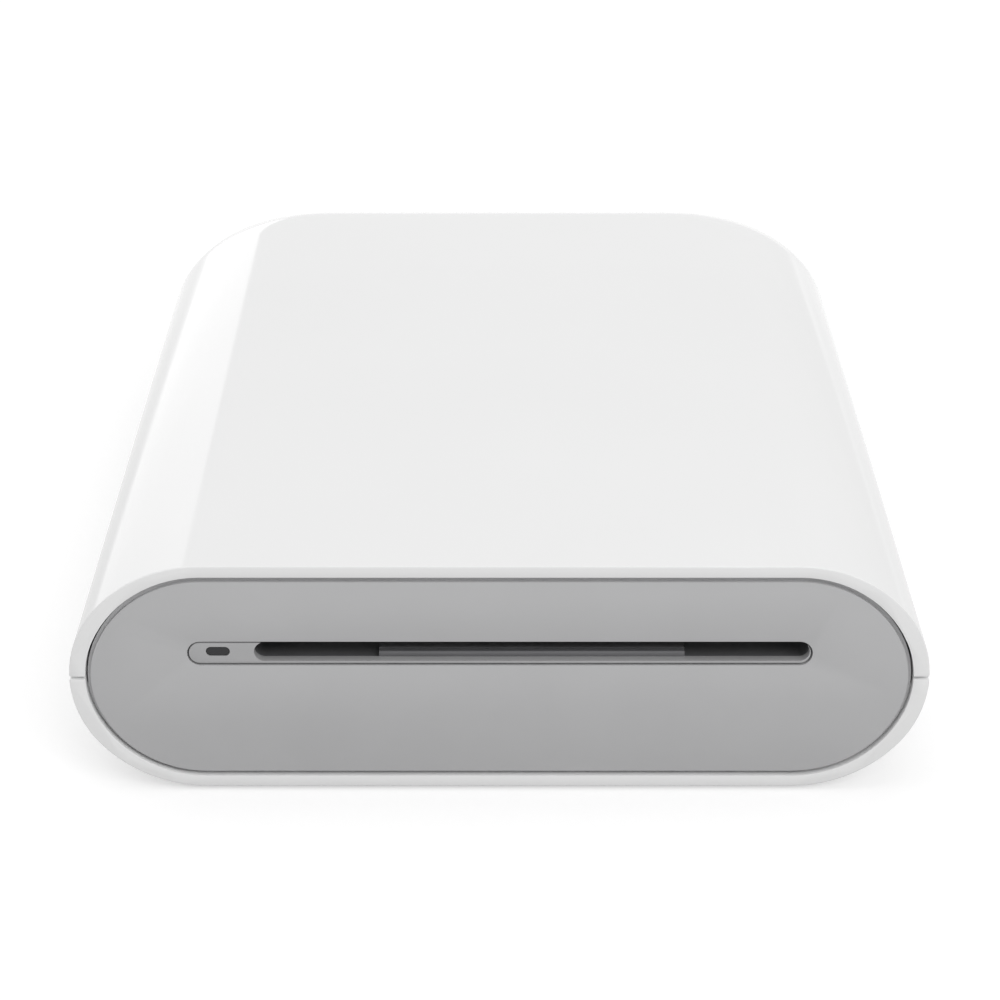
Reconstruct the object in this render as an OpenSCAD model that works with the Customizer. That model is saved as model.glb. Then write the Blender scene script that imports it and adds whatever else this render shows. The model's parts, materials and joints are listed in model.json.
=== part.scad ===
// Pocket photo printer: a flat pill-section case whose whole upper half is a cover hinged at the rear.
// Millimetres. X is the width, -Y is the front face, +Z is up; the feet stand on z = 0.

/* [Case] */
// Width of the case
body_w = 85; // [84:0.5:104]
// Length of the case, front face to rear
body_l = 124; // [122:1:150]
// Height of the case without its feet
body_h = 24.2; // [23.6:0.1:30]
// Rear corner radius in plan
plan_r = 20.3; // [18:0.1:25]
// How much smaller than half the height the side radius is
side_flat = 0.9; // [0.6:0.1:1.2]
// How much longer than half the height the rounding of a side is
cap_stretch = 1.1; // [0.9:0.1:1.6]
// Wall thickness at the sides and the rear
wall_side = 1.5; // [1.2:0.1:1.8]
// Wall thickness at the top and the bottom
wall_face = 1.1; // [0.9:0.1:1.4]
// Gap of the seam between the two halves
seam_gap = 0.25; // [0.2:0.05:0.5]

/* [Front panel] */
// Thickness of the panel
panel_t = 1; // [0.8:0.1:1.4]
// Gap between the panel and the rim round it
panel_gap = 0.18; // [0.12:0.02:0.4]
// Depth of the panel's face behind the rim
panel_recess = 0.1; // [0:0.05:0.5]
// Width of the step that frames the panel's face
panel_step = 0.35; // [0.2:0.05:0.6]

/* [Slot] */
// Middle of the paper path, from the middle of the case
path_x = 3.2; // [2:0.1:4]
// Width of the paper slot
slot_w = 54.7; // [52:0.1:55]
// Height of the paper slot
slot_h = 2; // [1.6:0.1:2.4]
// Middle of the slot above the middle of the case
slot_up = 2.95; // [2.7:0.05:3.2]
// Width of the inlay round the slot and the lamp
inlay_w = 61.35; // [60.5:0.05:62]
// Height of the inlay
inlay_h = 2.42; // [2.3:0.02:2.8]
// Middle of the inlay above the middle of the case
inlay_up = 2.76; // [2.7:0.02:2.8]
// Width of the rib in the slot's floor
rib_w = 30.2; // [20:0.1:34]
// Height of the rib in the slot's floor
rib_h = 0.55; // [0.3:0.05:0.8]
// Width of the lamp window
lens_w = 2.3; // [1.6:0.1:2.6]
// Height of the lamp window
lens_h = 1; // [0.8:0.1:1.2]

/* [Paper tray] */
// Width of a paper sheet
paper_w = 50; // [49:0.5:51]
// Length of a paper sheet
paper_l = 76; // [70:1:78]
// Room round a sheet, in all
paper_play = 1; // [0.6:0.1:1.6]
// Thickness of the tray's walls
tray_wall = 1.2; // [1:0.1:1.4]
// Thickness of the tray's floor
tray_floor_t = 1.4; // [1.2:0.1:1.8]
// Height of the tray's walls above its floor
tray_depth = 4; // [3:0.5:5]

/* [Print engine] */
// Distance of the platen behind the front face
platen_back = 14; // [13.5:0.1:15]
// Radius of the platen roller
platen_r = 3.5; // [3.2:0.05:3.6]
// Radius of the platen's shaft
platen_shaft_r = 1.25; // [1:0.05:1.5]
// Distance of the pickup shaft behind the front face
pickup_back = 41.5; // [40.5:0.1:42.5]
// Radius of the pickup tyres
pickup_r = 4.2; // [3.8:0.05:4.3]
// Radius of the pickup shaft
pickup_shaft_r = 1; // [0.8:0.05:1.2]
// Thickness of the two side plates
plate_t = 1.2; // [1:0.1:1.4]
// Width of the flat motor
motor_w = 12; // [10:0.5:12]
// Height of the flat motor
motor_h = 10; // [9.4:0.1:10.2]
// Length of the motor
motor_l = 15; // [12:0.5:16]

/* [Gears] */
// Gear module
gear_m = 0.5; // [0.48:0.01:0.51]
// Width of a gear
gear_t = 2; // [1.6:0.1:2.2]
// Play added to each centre distance
gear_play = 0.12; // [0.08:0.01:0.2]
// Teeth of the platen gear
platen_teeth = 20; // [18:1:20]
// Teeth of the large wheel of the step gear
wheel_teeth = 24; // [22:1:24]
// Teeth of the small wheel of the step gear
step_teeth = 12; // [12:1:13]
// Teeth of the motor pinion
pinion_teeth = 10; // [10:1:11]
// Teeth of the front idler
front_teeth = 18; // [18:1:19]
// Teeth of the rear idler
rear_teeth = 12; // [11:1:13]
// Teeth of the pickup gear
pickup_teeth = 24; // [22:1:24]

/* [Hinge] */
// Distance of the hinge axis before the rear face
hinge_back = 8.5; // [8:0.1:9]
// Radius of the cover's rear lip round the hinge axis
lip_r = 2.8; // [2.6:0.05:3]
// Running gap round the lip
lip_gap = 0.25; // [0.2:0.05:0.4]
// Radius of a hinge pin
pin_r = 0.75; // [0.6:0.05:0.9]

/* [Rear face] */
// Width of the power button
button_w = 8; // [6:0.5:9]
// Height of the power button
button_h = 2.8; // [2.2:0.1:3.2]
// Travel of the power button
button_travel = 0.5; // [0.3:0.1:0.6]
// Width of the charging port
port_w = 8; // [7.8:0.1:8.6]
// Height of the charging port
port_h = 3.1; // [2.9:0.1:3.4]
// Radius of the reset pinhole
reset_r = 0.6; // [0.4:0.05:0.8]

/* [Feet] */
// Radius of a foot
foot_r = 3.5; // [2.5:0.5:4.5]
// How far a foot stands proud of the case
foot_proud = 0.4; // [0.3:0.1:0.8]
// Depth of the recess that a foot sits in
foot_deep = 0.5; // [0.3:0.1:0.6]

/* [Fits] */
// Radial play of a turning shaft
shaft_play = 0.04; // [0.02:0.01:0.08]
// Radial play of a fixed or glued piece
seat_play = 0.01; // [0.01:0.01:0.03]
// Gap round a sliding piece
slide_gap = 0.2; // [0.15:0.05:0.3]

/* [Hidden] */
$fn = 48;
eps = 0.01;

// Driving levels and edges of the case
half_w = body_w / 2;
half_h = body_h / 2;
y_front = -body_l / 2;
y_rear = body_l / 2;
z_mid = foot_proud + half_h;
z_floor = foot_proud + wall_face;
z_roof = foot_proud + body_h - wall_face;
cap = half_h + cap_stretch;
side_r = half_h - side_flat;
corner_x = half_w - plan_r;
corner_y = y_rear - plan_r;
arc_steps = 8;

// Paper path: the tray's floor, the nip and the slot lie nearly level
slot_z = z_mid + slot_up;
nip_z = slot_z - 0.25;
tray_z = nip_z - 0.6;
tray_hw = (paper_w + paper_play) / 2;
tray_left = path_x - tray_hw;
tray_right = path_x + tray_hw;
gate_y = y_front + 34;
gate_t = 2;
tray_rear = gate_y + paper_l + paper_play;
tray_under = tray_z - tray_floor_t;
tray_top = tray_z + tray_depth;

// Front panel and inlay
panel_y = y_front + panel_recess;
panel_back = panel_y + panel_t;
inlay_x = path_x - 3.17;
inlay_z = z_mid + inlay_up;
inlay_edge = 1.5;
flange_web = 0.4;
flange_room = 0.3;
inlay_back = panel_back + 1.2;
guide_front = panel_back + flange_web + 0.02;
guide_back = panel_y + 5.8;
guide_room = 0.5;
guide_spigot = 1.4;
guide_body = 2.4;
lens_x = inlay_x - inlay_w / 2 + 2.94;
lens_z = slot_z - 0.02;
lens_back = panel_back + 1.7;

// Side plates stand just outside the tray; the gears run outside the left plate
plate_gap = 0.4;
plate_left = tray_left - tray_wall - plate_gap;
plate_right = tray_right + tray_wall + plate_gap;
plate_y0 = y_front + 6.5;
plate_y1 = y_front + 48;
plate_z0 = z_floor + 0.35;
plate_z1 = z_mid + 8.1;
gear_gap = 0.3;
inner_gear_x = plate_left - plate_t - gear_gap - gear_t;
outer_gear_x = inner_gear_x - gear_gap - gear_t;
shaft_x0 = outer_gear_x - gear_gap;
shaft_x1 = plate_right + plate_t + 0.7;
bush_wall = 0.95;
bush_lip = 0.25;

// Centres of the gears as [y, z]
function pitch_r(n) = n * gear_m / 2;
function mesh(a, b) = pitch_r(a) + pitch_r(b) + gear_play;
function polar(at, r, a) = [at[0] + r * cos(a), at[1] + r * sin(a)];
function angle_to(p, q) = atan2(q[1] - p[1], q[0] - p[0]);
// Upper one of the two points that lie rp from p and rq from q
function meet(p, q, rp, rq) =
  let (d = norm(q - p), a = (rp * rp - rq * rq + d * d) / (2 * d), t = angle_to(p, q))
  polar(polar(p, a, t), sqrt(rp * rp - a * a), t + 90);
platen = [y_front + platen_back, nip_z - platen_r];
pickup = [y_front + pickup_back, tray_z + 0.2 - pickup_r];
step = polar(platen, mesh(platen_teeth, step_teeth), -20);
motor_z = z_floor + motor_h / 2 + 0.4;
motor_arm = mesh(wheel_teeth, pinion_teeth);
motor = polar(step, motor_arm, asin((motor_z - step[1]) / motor_arm));
idler_1 = polar(step, mesh(step_teeth, front_teeth), 35);
idler_2 = meet(idler_1, pickup, mesh(front_teeth, rear_teeth), mesh(rear_teeth, pickup_teeth));

// Angle of the follower's first tooth, so that it meshes with a gear of na teeth at phase pa
function in_mesh(na, pa, dir, nb) = dir + 180 - (0.5 - (dir - pa) * na / 360) * 360 / nb;
step_phase = in_mesh(platen_teeth, 0, angle_to(platen, step), step_teeth);
wheel_phase = 0;
pinion_phase = in_mesh(wheel_teeth, wheel_phase, angle_to(step, motor), pinion_teeth);
idler_1_phase = in_mesh(step_teeth, step_phase, angle_to(step, idler_1), front_teeth);
idler_2_phase = in_mesh(front_teeth, idler_1_phase, angle_to(idler_1, idler_2), rear_teeth);
pickup_phase = in_mesh(rear_teeth, idler_2_phase, angle_to(idler_2, pickup), pickup_teeth);
stud_r = 0.75;
tyre_x = 5;
tyre_w = 6;
window_w = 2 * tyre_x + tyre_w + 3;
motor_shaft_r = 0.5;

// Print head above the platen, on a pivot behind it
head_z = nip_z + 0.25;
head_t = 0.95;
sink_z = head_z + head_t;
sink_t = 1.8;
bracket_z = sink_z + sink_t;
bracket_t = 0.8;
head_pivot = [platen[0] + 9.5, sink_z + 0.8];
head_pivot_r = 0.8;
head_x0 = tray_left + 0.5;
head_x1 = tray_right - 0.5;
head_spring_x = 13;
head_spring_r = 1.8;

// Hinge axis, at a fixed depth under the skin
function upper_r(c, b, r) = (c * c + b * b - 2 * c * r) / (2 * (b - r));
top_r = upper_r(cap, half_h, side_r);
hinge_y = y_rear - hinge_back;
skin_up = half_h - top_r + sqrt(pow(top_r, 2) - pow(hinge_y - (y_rear - cap), 2));
lip_rise = 0.05;
hinge = [hinge_y, z_mid + skin_up - lip_r + lip_rise];
ear_r = 1.5;
ear_t = 1.2;
knuckle_x0 = corner_x - 0.8;
knuckle_x1 = corner_x + 3.6;
ear_gap = 0.2;
shelf_t = 1.2;
shelf_w = 1.4;
seam_lip_in = 0.25;
seam_lip_t = 0.7;
seam_lip_h = 1.2;
ear_x0 = knuckle_x0 - ear_gap - ear_t;
ear_x1 = knuckle_x1 + ear_gap + ear_t;

// Boards and rear face
board_t = 1;
board_y1 = y_rear - 4.6;
board_y0 = board_y1 - 31;
board_x0 = -21;
board_x1 = 25;
cell_x0 = -22;
cell_x1 = 28;
cell_y0 = gate_y + 16;
cell_y1 = gate_y + 50;
cell_t = 5.5;
board_top = z_mid - port_h / 2 + 0.2;
port_floor = y_rear - 5.4;
button_x = 12;
button_z = z_mid;
button_back = y_rear - wall_side - 1.3;
switch_front = button_back - button_travel - 0.2;
reset_x = -10;
post_r = 2.2;
screw_r = 0.8;
screw_head_r = 1.6;
screw_play = 0.15;
screw_l = 5;
tray_post_x = [tray_left - 4.7, tray_right + 4.8];
tray_post_y = [gate_y + 20, tray_rear - 11];
tray_tab_t = 1.4;
board_post_x = [board_x0 + 3, board_x1 - 3];
board_post_y = [board_y0 + 3, board_y1 - 8.5];
foot_x = 24;
foot_y = [y_front + 14, y_rear - 22];

// Press plate under the cover
press_pivot = [gate_y + 30, z_roof - 2.9];
press_l = 24;
press_w = 28;
press_t = 0.8;
press_slope = 7;
press_pin_r = 0.6;
pad_w = 18;
pad_t = 0.6;
press_spring_x = 9;
press_spring_r = 2.2;
press_spring_back = 14;
press_spring_z = press_pivot[1] - (press_spring_back - press_spring_r) * tan(press_slope) - 0.9;
lever_pivot = [gate_y + 34, tray_under - 1.3];
lever_x = path_x + 18;
lever_t = 1.6;
lever_pin_r = 0.6;

// ---- Helpers ----

module box(a, b) translate(a) cube([b[0] - a[0], b[1] - a[1], b[2] - a[2]]);

// Rod along X between x0 and x1, its axis at [y, z]
module xrod(x0, x1, at, r) translate([x0, at[0], at[1]]) rotate([0, 90, 0]) cylinder(h = x1 - x0, r = r);

// The same rod on both sides of the middle, between the distances x0 and x1 from it
module xrods(x0, x1, at, r) {
  xrod(x0, x1, at, r);
  xrod(-x1, -x0, at, r);
}

// A drawing in [y, z] given thickness along X
module xplate(x0, x1) translate([x0, 0, 0]) rotate([90, 0, 90]) linear_extrude(x1 - x0) children();

// A drawing in [x, z] given thickness along Y
module yplate(y0, y1) translate([0, y1, 0]) rotate([90, 0, 0]) linear_extrude(y1 - y0) children();

// Stadium with round ends, centred at [cx, cz]
module stadium(cx, cz, w, h) translate([cx, cz]) {
  square([w - h, h], center = true);
  for (s = [-1, 1]) translate([s * (w - h) / 2, 0]) circle(d = h);
}

function reversed(l) = [for (i = [len(l) - 1:-1:0]) l[i]];

// A quarter of the case's section: a side arc, then a flatter arc up to the level top
function quarter(a, b, c, r) =
  let (big = upper_r(c, b, r), turn = atan2(big - b, c - r))
  concat(
    [for (i = [0:arc_steps]) polar([a - r, 0], r, turn * i / arc_steps)],
    [for (i = [1:arc_steps]) polar([a - c, b - big], big, turn + (90 - turn) * i / arc_steps)]);

// The right half of the section, from its lowest point to its highest
function half_section(a, b, c, r) =
  let (q = quarter(a, b, c, r))
  concat([for (p = reversed(q)) [p[0], -p[1]]], [for (i = [1:len(q) - 1]) q[i]]);

// The whole section, inset by s at the sides and t at the top and bottom
module section(s, t) {
  right = half_section(half_w - s, half_h - t, cap - s, side_r - s);
  polygon(concat(right, [for (p = reversed(right)) [-p[0], p[1]]]));
}

// The section between y0 and y1
module section_plate(y0, y1, s, t) translate([0, 0, z_mid]) yplate(y0, y1) section(s, t);

// The whole case as a solid, inset by s at the sides and t at the top and bottom
module case_form(s, t) {
  rear = concat(half_section(plan_r - s, half_h - t, cap - s, side_r - s), [[0, half_h - t], [0, t - half_h]]);
  section_plate(y_front, corner_y, s, t);
  translate([0, corner_y, z_mid]) xplate(-corner_x, corner_x) polygon(rear);
  for (right = [true, false])
    translate([right ? corner_x : -corner_x, corner_y, z_mid])
      rotate([0, 0, right ? 0 : 90]) rotate_extrude(angle = 90) polygon(rear);
}

module case_wall() difference() {
  case_form(0, 0);
  case_form(wall_side, wall_face);
}

// ---- Case ----

// Everything above the seam and before the hinge, with a lip that rolls round the hinge axis
module cover_space() {
  box([-half_w - 1, y_front - 1, z_mid + seam_gap / 2], [half_w + 1, hinge[0], z_roof + 5]);
  xrod(-half_w, half_w, hinge, lip_r);
}

module top_cover() color("white") {
  difference() {
    intersection() {
      case_wall();
      cover_space();
    }
    // Room for the ears of the hinge under the skin
    xrods(ear_x0 - ear_gap, ear_x1 + ear_gap, hinge, ear_r + ear_gap);
  }
  // Hinge knuckles, hung from the skin
  difference() {
    union() {
      xrods(knuckle_x0, knuckle_x1, hinge, ear_r);
      for (x = [knuckle_x0, -knuckle_x1])
        box([x, hinge[0] - ear_r, hinge[1]],
            [x + knuckle_x1 - knuckle_x0, hinge[0] + 1.1, hinge[1] + ear_r + ear_gap + 0.1]);
    }
    xrod(-half_w, half_w, hinge, pin_r + shaft_play);
  }
  // Ribs that stiffen the roof, and the ears of the press plate
  for (x = [path_x - 20, path_x + 20])
    box([x - 0.5, gate_y, z_roof - 0.8], [x + 0.5, tray_rear - 4, z_roof + 0.3]);
  for (y = [gate_y + 2, tray_rear - 8])
    box([path_x - 24, y, z_roof - 0.8], [path_x + 24, y + 1, z_roof + 0.3]);
  for (s = [-1, 1]) difference() {
    union() {
      xrod(path_x + s * (press_w / 2 + 1) - 0.7, path_x + s * (press_w / 2 + 1) + 0.7, press_pivot, 1.5);
      box([path_x + s * (press_w / 2 + 1) - 0.7, press_pivot[0] - 1.5, press_pivot[1]],
          [path_x + s * (press_w / 2 + 1) + 0.7, press_pivot[0] + 1.5, z_roof + 0.3]);
    }
    xrod(-half_w, half_w, press_pivot, press_pin_r + shaft_play);
  }
}

module base_shell() color("white") difference() {
  union() {
    difference() {
      case_wall();
      box([-half_w - 1, y_front - 1, z_mid - seam_gap / 2], [half_w + 1, hinge[0] + lip_gap, z_roof + 5]);
      xrod(-half_w, half_w, hinge, lip_r + lip_gap);
    }
    intersection() {
      case_form(wall_side / 2, wall_face / 2);
      union() {
        base_posts();
        hinge_ears();
        seam_lips();
        // Shelf behind the lower half of the panel
        difference() {
          box([-half_w, panel_back, 0], [half_w, panel_back + shelf_t, z_mid - 1]);
          section_plate(panel_back - 1, panel_back + shelf_t + 1, wall_side + shelf_w, wall_face + shelf_w);
        }
      }
    }
  }
  // Screw holes in the posts
  for (x = tray_post_x, y = tray_post_y)
    translate([x, y, tray_under - screw_l - 0.5]) cylinder(h = 20, r = screw_r + seat_play);
  for (x = board_post_x, y = board_post_y)
    translate([x, y, board_top - board_t - screw_l]) cylinder(h = 20, r = screw_r + seat_play);
  xrod(-half_w, half_w, hinge, pin_r + seat_play);
  // Rear openings
  yplate(y_rear - 6, y_rear + 1) {
    stadium(0, z_mid, port_w, port_h);
    stadium(button_x, button_z, button_w + 2 * slide_gap, button_h + 2 * slide_gap);
  }
  translate([reset_x, y_rear - 6, z_mid]) rotate([-90, 0, 0]) cylinder(h = 8, r = reset_r);
  foot_pads(-1, foot_r + seat_play);
}

module foot_pads(z0, r) for (s = [-1, 1], y = foot_y)
  translate([s * foot_x, y, z0]) cylinder(h = foot_proud + foot_deep - z0, r = r);

module base_posts() {
  for (x = tray_post_x, y = tray_post_y) translate([x, y, 0]) cylinder(h = tray_under, r = post_r);
  for (x = board_post_x, y = board_post_y) translate([x, y, 0]) cylinder(h = board_top - board_t, r = post_r);
}

// Thin lips that stand inside the cover's edge and close the seam along both sides
module seam_lips() {
  y0 = panel_back + shelf_t + 0.3;
  y1 = corner_y - 2;
  inner = half_w - wall_side - seam_lip_in;
  for (x = [inner - seam_lip_t, -inner]) {
    box([x, y0, z_mid - seam_lip_h], [x + seam_lip_t, y1, z_mid + seam_lip_h]);
    // Root that joins the lip to the wall
    box([x - seam_lip_in, y0, z_mid - seam_lip_h], [x + seam_lip_t + seam_lip_in, y1, z_mid - 0.5]);
  }
}

// Two ears for each hinge pin, on ribs that rise from the rear wall
module hinge_ears() {
  for (x0 = [ear_x0, ear_x1 - ear_t, -ear_x0 - ear_t, -ear_x1]) {
    xrod(x0, x0 + ear_t, hinge, ear_r);
    box([x0, hinge[0] - 1.3, z_mid + 1.5], [x0 + ear_t, hinge[0] + 0.4, hinge[1]]);
    box([x0, hinge[0] - 1.3, z_mid + 1.5], [x0 + ear_t, y_rear, hinge[1] - lip_r - 0.6]);
  }
}

module front_panel() color([0.68, 0.68, 0.69]) difference() {
  side = wall_side + panel_gap;
  face = wall_face + panel_gap;
  step_h = 0.2;
  union() {
    section_plate(panel_y + step_h, panel_back, side, face);
    section_plate(panel_y, panel_y + step_h + 0.05, side + panel_step, face + panel_step);
  }
  yplate(panel_y - 1, panel_back + 1) stadium(inlay_x, inlay_z, inlay_w + 0.1, inlay_h + 0.1);
}

// The slot's outline, wider and higher by w
module slot_outline(w) stadium(path_x, slot_z, slot_w + w, slot_h + w);

module slot_inlay() color([0.62, 0.62, 0.63]) difference() {
  union() {
    yplate(panel_y, panel_back + eps) stadium(inlay_x, inlay_z, inlay_w, inlay_h);
    yplate(panel_back, inlay_back)
      stadium(inlay_x, inlay_z, inlay_w + 2 * inlay_edge, inlay_h + 2 * inlay_edge);
  }
  // In the face the slot runs out through the inlay's upper edge
  yplate(panel_y - 1, panel_back) {
    slot_outline(0);
    translate([path_x - slot_w / 2 + slot_h / 2, slot_z]) square([slot_w - slot_h / 2, slot_h]);
    translate([path_x + slot_w / 2 - slot_h / 2, slot_z - slot_h / 4]) square([slot_h, slot_h]);
  }
  // The flange opens wider behind the face, and takes the spigot of the exit guide
  yplate(panel_back, panel_back + 1) slot_outline(flange_room);
  yplate(panel_back + flange_web, inlay_back + 1) slot_outline(guide_spigot);
  yplate(panel_y - 1, inlay_back + 1) lens_outline(0.03);
}

// Guide that brings the sheet from the nip to the slot, with a rib in the middle of its floor
module exit_guide() color([0.35, 0.35, 0.36]) {
  floor_z = slot_z - slot_h / 2;
  rib_x = [path_x - rib_w / 2, path_x + rib_w / 2];
  rib_front = panel_back + 2 * seat_play;
  rib_top = floor_z + rib_h;
  difference() {
    union() {
      yplate(guide_front, inlay_back + eps) slot_outline(guide_spigot - 2 * seat_play);
      yplate(inlay_back, guide_back) slot_outline(guide_body);
      // Plate under the nip
      box([tray_left + 1, guide_back - 0.5, floor_z - 0.8],
          [tray_right - 1, platen[0] - platen_r - 0.7, floor_z - 0.3]);
    }
    yplate(guide_front - 1, guide_back + 1) slot_outline(guide_room);
  }
  // Rib, which reaches through the flange to the face and has a groove across its top
  difference() {
    union() {
      box([rib_x[0], rib_front, floor_z - flange_room / 2 + 0.02], [rib_x[1], guide_back, rib_top]);
      box([rib_x[0], guide_front, floor_z - guide_room / 2 - 0.1], [rib_x[1], guide_back, floor_z]);
    }
    box([rib_x[0] - 1, rib_front + 0.5, rib_top - 0.25], [rib_x[1] + 1, rib_front + 1, rib_top + 1]);
  }
}

module lens_outline(grow) {
  translate([lens_x, lens_z]) {
    square([lens_w + 2 * grow, lens_h - 0.6 + 2 * grow], center = true);
    square([lens_w - 0.6 + 2 * grow, lens_h + 2 * grow], center = true);
    for (u = [-1, 1], v = [-1, 1])
      translate([u * (lens_w / 2 - 0.3), v * (lens_h / 2 - 0.3)]) circle(r = 0.3 + grow, $fn = 24);
  }
}

module status_lens() color([0.2, 0.2, 0.22]) yplate(panel_y + 0.05, lens_back) lens_outline(0);

module rubber_feet() color([0.8, 0.8, 0.8]) foot_pads(0, foot_r);

module hinge_pins() color("silver") xrods(ear_x0, ear_x1, hinge, pin_r);

module power_button() color("white") {
  face = y_rear - 0.15;
  yplate(button_back, face) stadium(button_x, button_z, button_w, button_h);
  yplate(button_back, button_back + 0.8) stadium(button_x, button_z, button_w + 2, button_h + 2);
}

// ---- Tray and frame ----

module paper_tray() color([0.25, 0.25, 0.26]) difference() {
  union() {
    // Floor, walls and rear wall
    box([tray_left - tray_wall, platen[0] + platen_r + 0.7, tray_under],
        [tray_right + tray_wall, tray_rear + tray_wall, tray_z]);
    for (x = [tray_left - tray_wall, tray_right])
      box([x, gate_y - gate_t, tray_under], [x + tray_wall, tray_rear + tray_wall, tray_top]);
    box([tray_left - eps, tray_rear, tray_under], [tray_right + eps, tray_rear + tray_wall, tray_top]);
    // Gate that lets one sheet through
    box([tray_left - eps, gate_y - gate_t, tray_z + 0.8], [tray_right + eps, gate_y, tray_top]);
    // Tabs on the posts
    for (y = tray_post_y) {
      for (x = tray_post_x) translate([x, y, tray_under]) cylinder(h = tray_tab_t, r = post_r + 0.8);
      box([tray_post_x[0], y - 2, tray_under], [tray_left, y + 2, tray_under + tray_tab_t]);
      box([tray_right, y - 2, tray_under], [tray_post_x[1], y + 2, tray_under + tray_tab_t]);
    }
    // Ears of the paper lever
    for (s = [-1, 1]) {
      x = lever_x + s * (lever_t / 2 + 0.9);
      xrod(x - 0.5, x + 0.5, lever_pivot, 1.4);
      box([x - 0.5, lever_pivot[0] - 1.4, lever_pivot[1]], [x + 0.5, lever_pivot[0] + 1.4, tray_under + eps]);
    }
    // Low runners that the sheets slide on
    for (x = [tray_left + 4, tray_right - 4])
      box([x - 0.6, gate_y + 4, tray_z - eps], [x + 0.6, tray_rear - 4, tray_z + 0.15]);
  }
  // Window of the pickup tyres
  box([path_x - window_w / 2, pickup[0] - pickup_r - 0.6, tray_under - 1],
      [path_x + window_w / 2, pickup[0] + pickup_r + 0.6, tray_z + 0.5]);
  // Slot of the paper lever
  box([lever_x - lever_t / 2 - 0.3, lever_pivot[0] - 8.6, tray_under - 1],
      [lever_x + lever_t / 2 + 0.3, lever_pivot[0] + 1.6, tray_z + 0.5]);
  xrod(lever_x - 5, lever_x + 5, lever_pivot, lever_pin_r + shaft_play);
  // Finger scoop in the rear wall
  translate([path_x, tray_rear - 1, tray_top + 4]) rotate([-90, 0, 0]) cylinder(h = 5, r = 9);
  // Screw holes in the tabs
  for (x = tray_post_x, y = tray_post_y) translate([x, y, tray_under - 1]) cylinder(h = 5, r = screw_r + screw_play);
}

// A side plate in [y, z], with holes for the bushes and the head's pivot
module plate_outline() difference() {
  polygon([
    [plate_y0, plate_z0], [plate_y1, plate_z0], [plate_y1, tray_z + 1.6],
    [plate_y1 - 6, tray_top], [head_pivot[0] + 5, tray_top], [head_pivot[0] + 2, plate_z1],
    [plate_y0 + 1.5, plate_z1], [plate_y0, plate_z1 - 1.5]
  ]);
  translate(platen) circle(r = platen_shaft_r + bush_wall + seat_play);
  translate(pickup) circle(r = pickup_shaft_r + bush_wall + seat_play);
  translate(head_pivot) circle(r = head_pivot_r + seat_play);
}

module gear_plate() color("silver") difference() {
  xplate(plate_left - plate_t, plate_left) plate_outline();
  xrod(plate_left - 5, plate_left + 5, motor, 2.2);
  for (at = [step, idler_1, idler_2]) xrod(plate_left - 5, plate_left + 5, at, stud_r + seat_play);
}

module bearing_plate() color("silver") xplate(plate_right, plate_right + plate_t) difference() {
  plate_outline();
  // Lightening hole
  hull() for (y = [step[0] + 2, motor[0] + 2]) translate([y, z_mid - 5]) circle(r = 2.6, $fn = 32);
}

// A bush in each side plate, with a lip on the plate's inner face
module bushes(at, shaft_r) for (left = [true, false]) {
  x0 = left ? plate_left - plate_t : plate_right;
  lip_x = left ? plate_left : plate_right - bush_lip;
  difference() {
    union() {
      xrod(x0, x0 + plate_t, at, shaft_r + bush_wall);
      xrod(lip_x, lip_x + bush_lip, at, shaft_r + bush_wall + 0.6);
    }
    xrod(x0 - 2, x0 + plate_t + 2, at, shaft_r + shaft_play);
  }
}

module platen_bushes() color("goldenrod") bushes(platen, platen_shaft_r);
module pickup_bushes() color("goldenrod") bushes(pickup, pickup_shaft_r);

// Fixed studs that carry the step gear and, on a shoulder, the idlers
module gear_studs() color("silver") {
  for (at = [step, idler_1, idler_2]) {
    xrod(shaft_x0, plate_left, at, stud_r);
    xrod(shaft_x0 - 0.4, shaft_x0, at, stud_r + 0.5);
  }
  for (at = [idler_1, idler_2]) xrod(outer_gear_x + gear_t + 0.1, plate_left - plate_t, at, stud_r + 0.3);
}

// ---- Gears ----

// Involute gear, one tooth centred at angle phase; backlash thins each tooth a little
function unwind(rb, r) = let (t = sqrt(max(0, pow(r / rb, 2) - 1))) t * 180 / PI - atan(t);
module gear_outline(n, phase) {
  rp = pitch_r(n);
  rb = rp * cos(20);
  ro = rp + 0.9 * gear_m;
  rr = rp - 1.2 * gear_m;
  thin = 0.05 / rp * 180 / PI;
  half_tooth = 90 / n + unwind(rb, rp) - thin;
  lo = max(rb, rr);
  flank = [for (i = [0:3]) let (r = lo + (ro - lo) * i / 3) [r, half_tooth - unwind(rb, r)]];
  foot = rr < rb ? [[rr, half_tooth]] : [];
  side = concat(foot, flank);
  polygon([
    for (k = [0:n - 1]) let (a = phase + k * 360 / n)
      each concat(
        [for (p = side) polar([0, 0], p[0], a - p[1])],
        [for (p = reversed(side)) polar([0, 0], p[0], a + p[1])])
  ]);
}

module gear(x0, at, n, phase) translate([0, at[0], at[1]]) xplate(x0, x0 + gear_t) gear_outline(n, phase);

module platen_gear() color("ivory") difference() {
  gear(outer_gear_x, platen, platen_teeth, 0);
  xrod(outer_gear_x - 1, outer_gear_x + gear_t + 1, platen, platen_shaft_r + seat_play);
}

module pickup_gear() color("ivory") difference() {
  gear(outer_gear_x, pickup, pickup_teeth, pickup_phase);
  xrod(outer_gear_x - 1, outer_gear_x + gear_t + 1, pickup, pickup_shaft_r + seat_play);
}

module step_gear() color("ivory") difference() {
  union() {
    gear(outer_gear_x, step, step_teeth, step_phase);
    gear(inner_gear_x, step, wheel_teeth, wheel_phase);
    xrod(outer_gear_x + gear_t - eps, inner_gear_x + eps, step, pitch_r(step_teeth) - 1);
  }
  xrod(shaft_x0, plate_left, step, stud_r + shaft_play);
}

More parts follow.
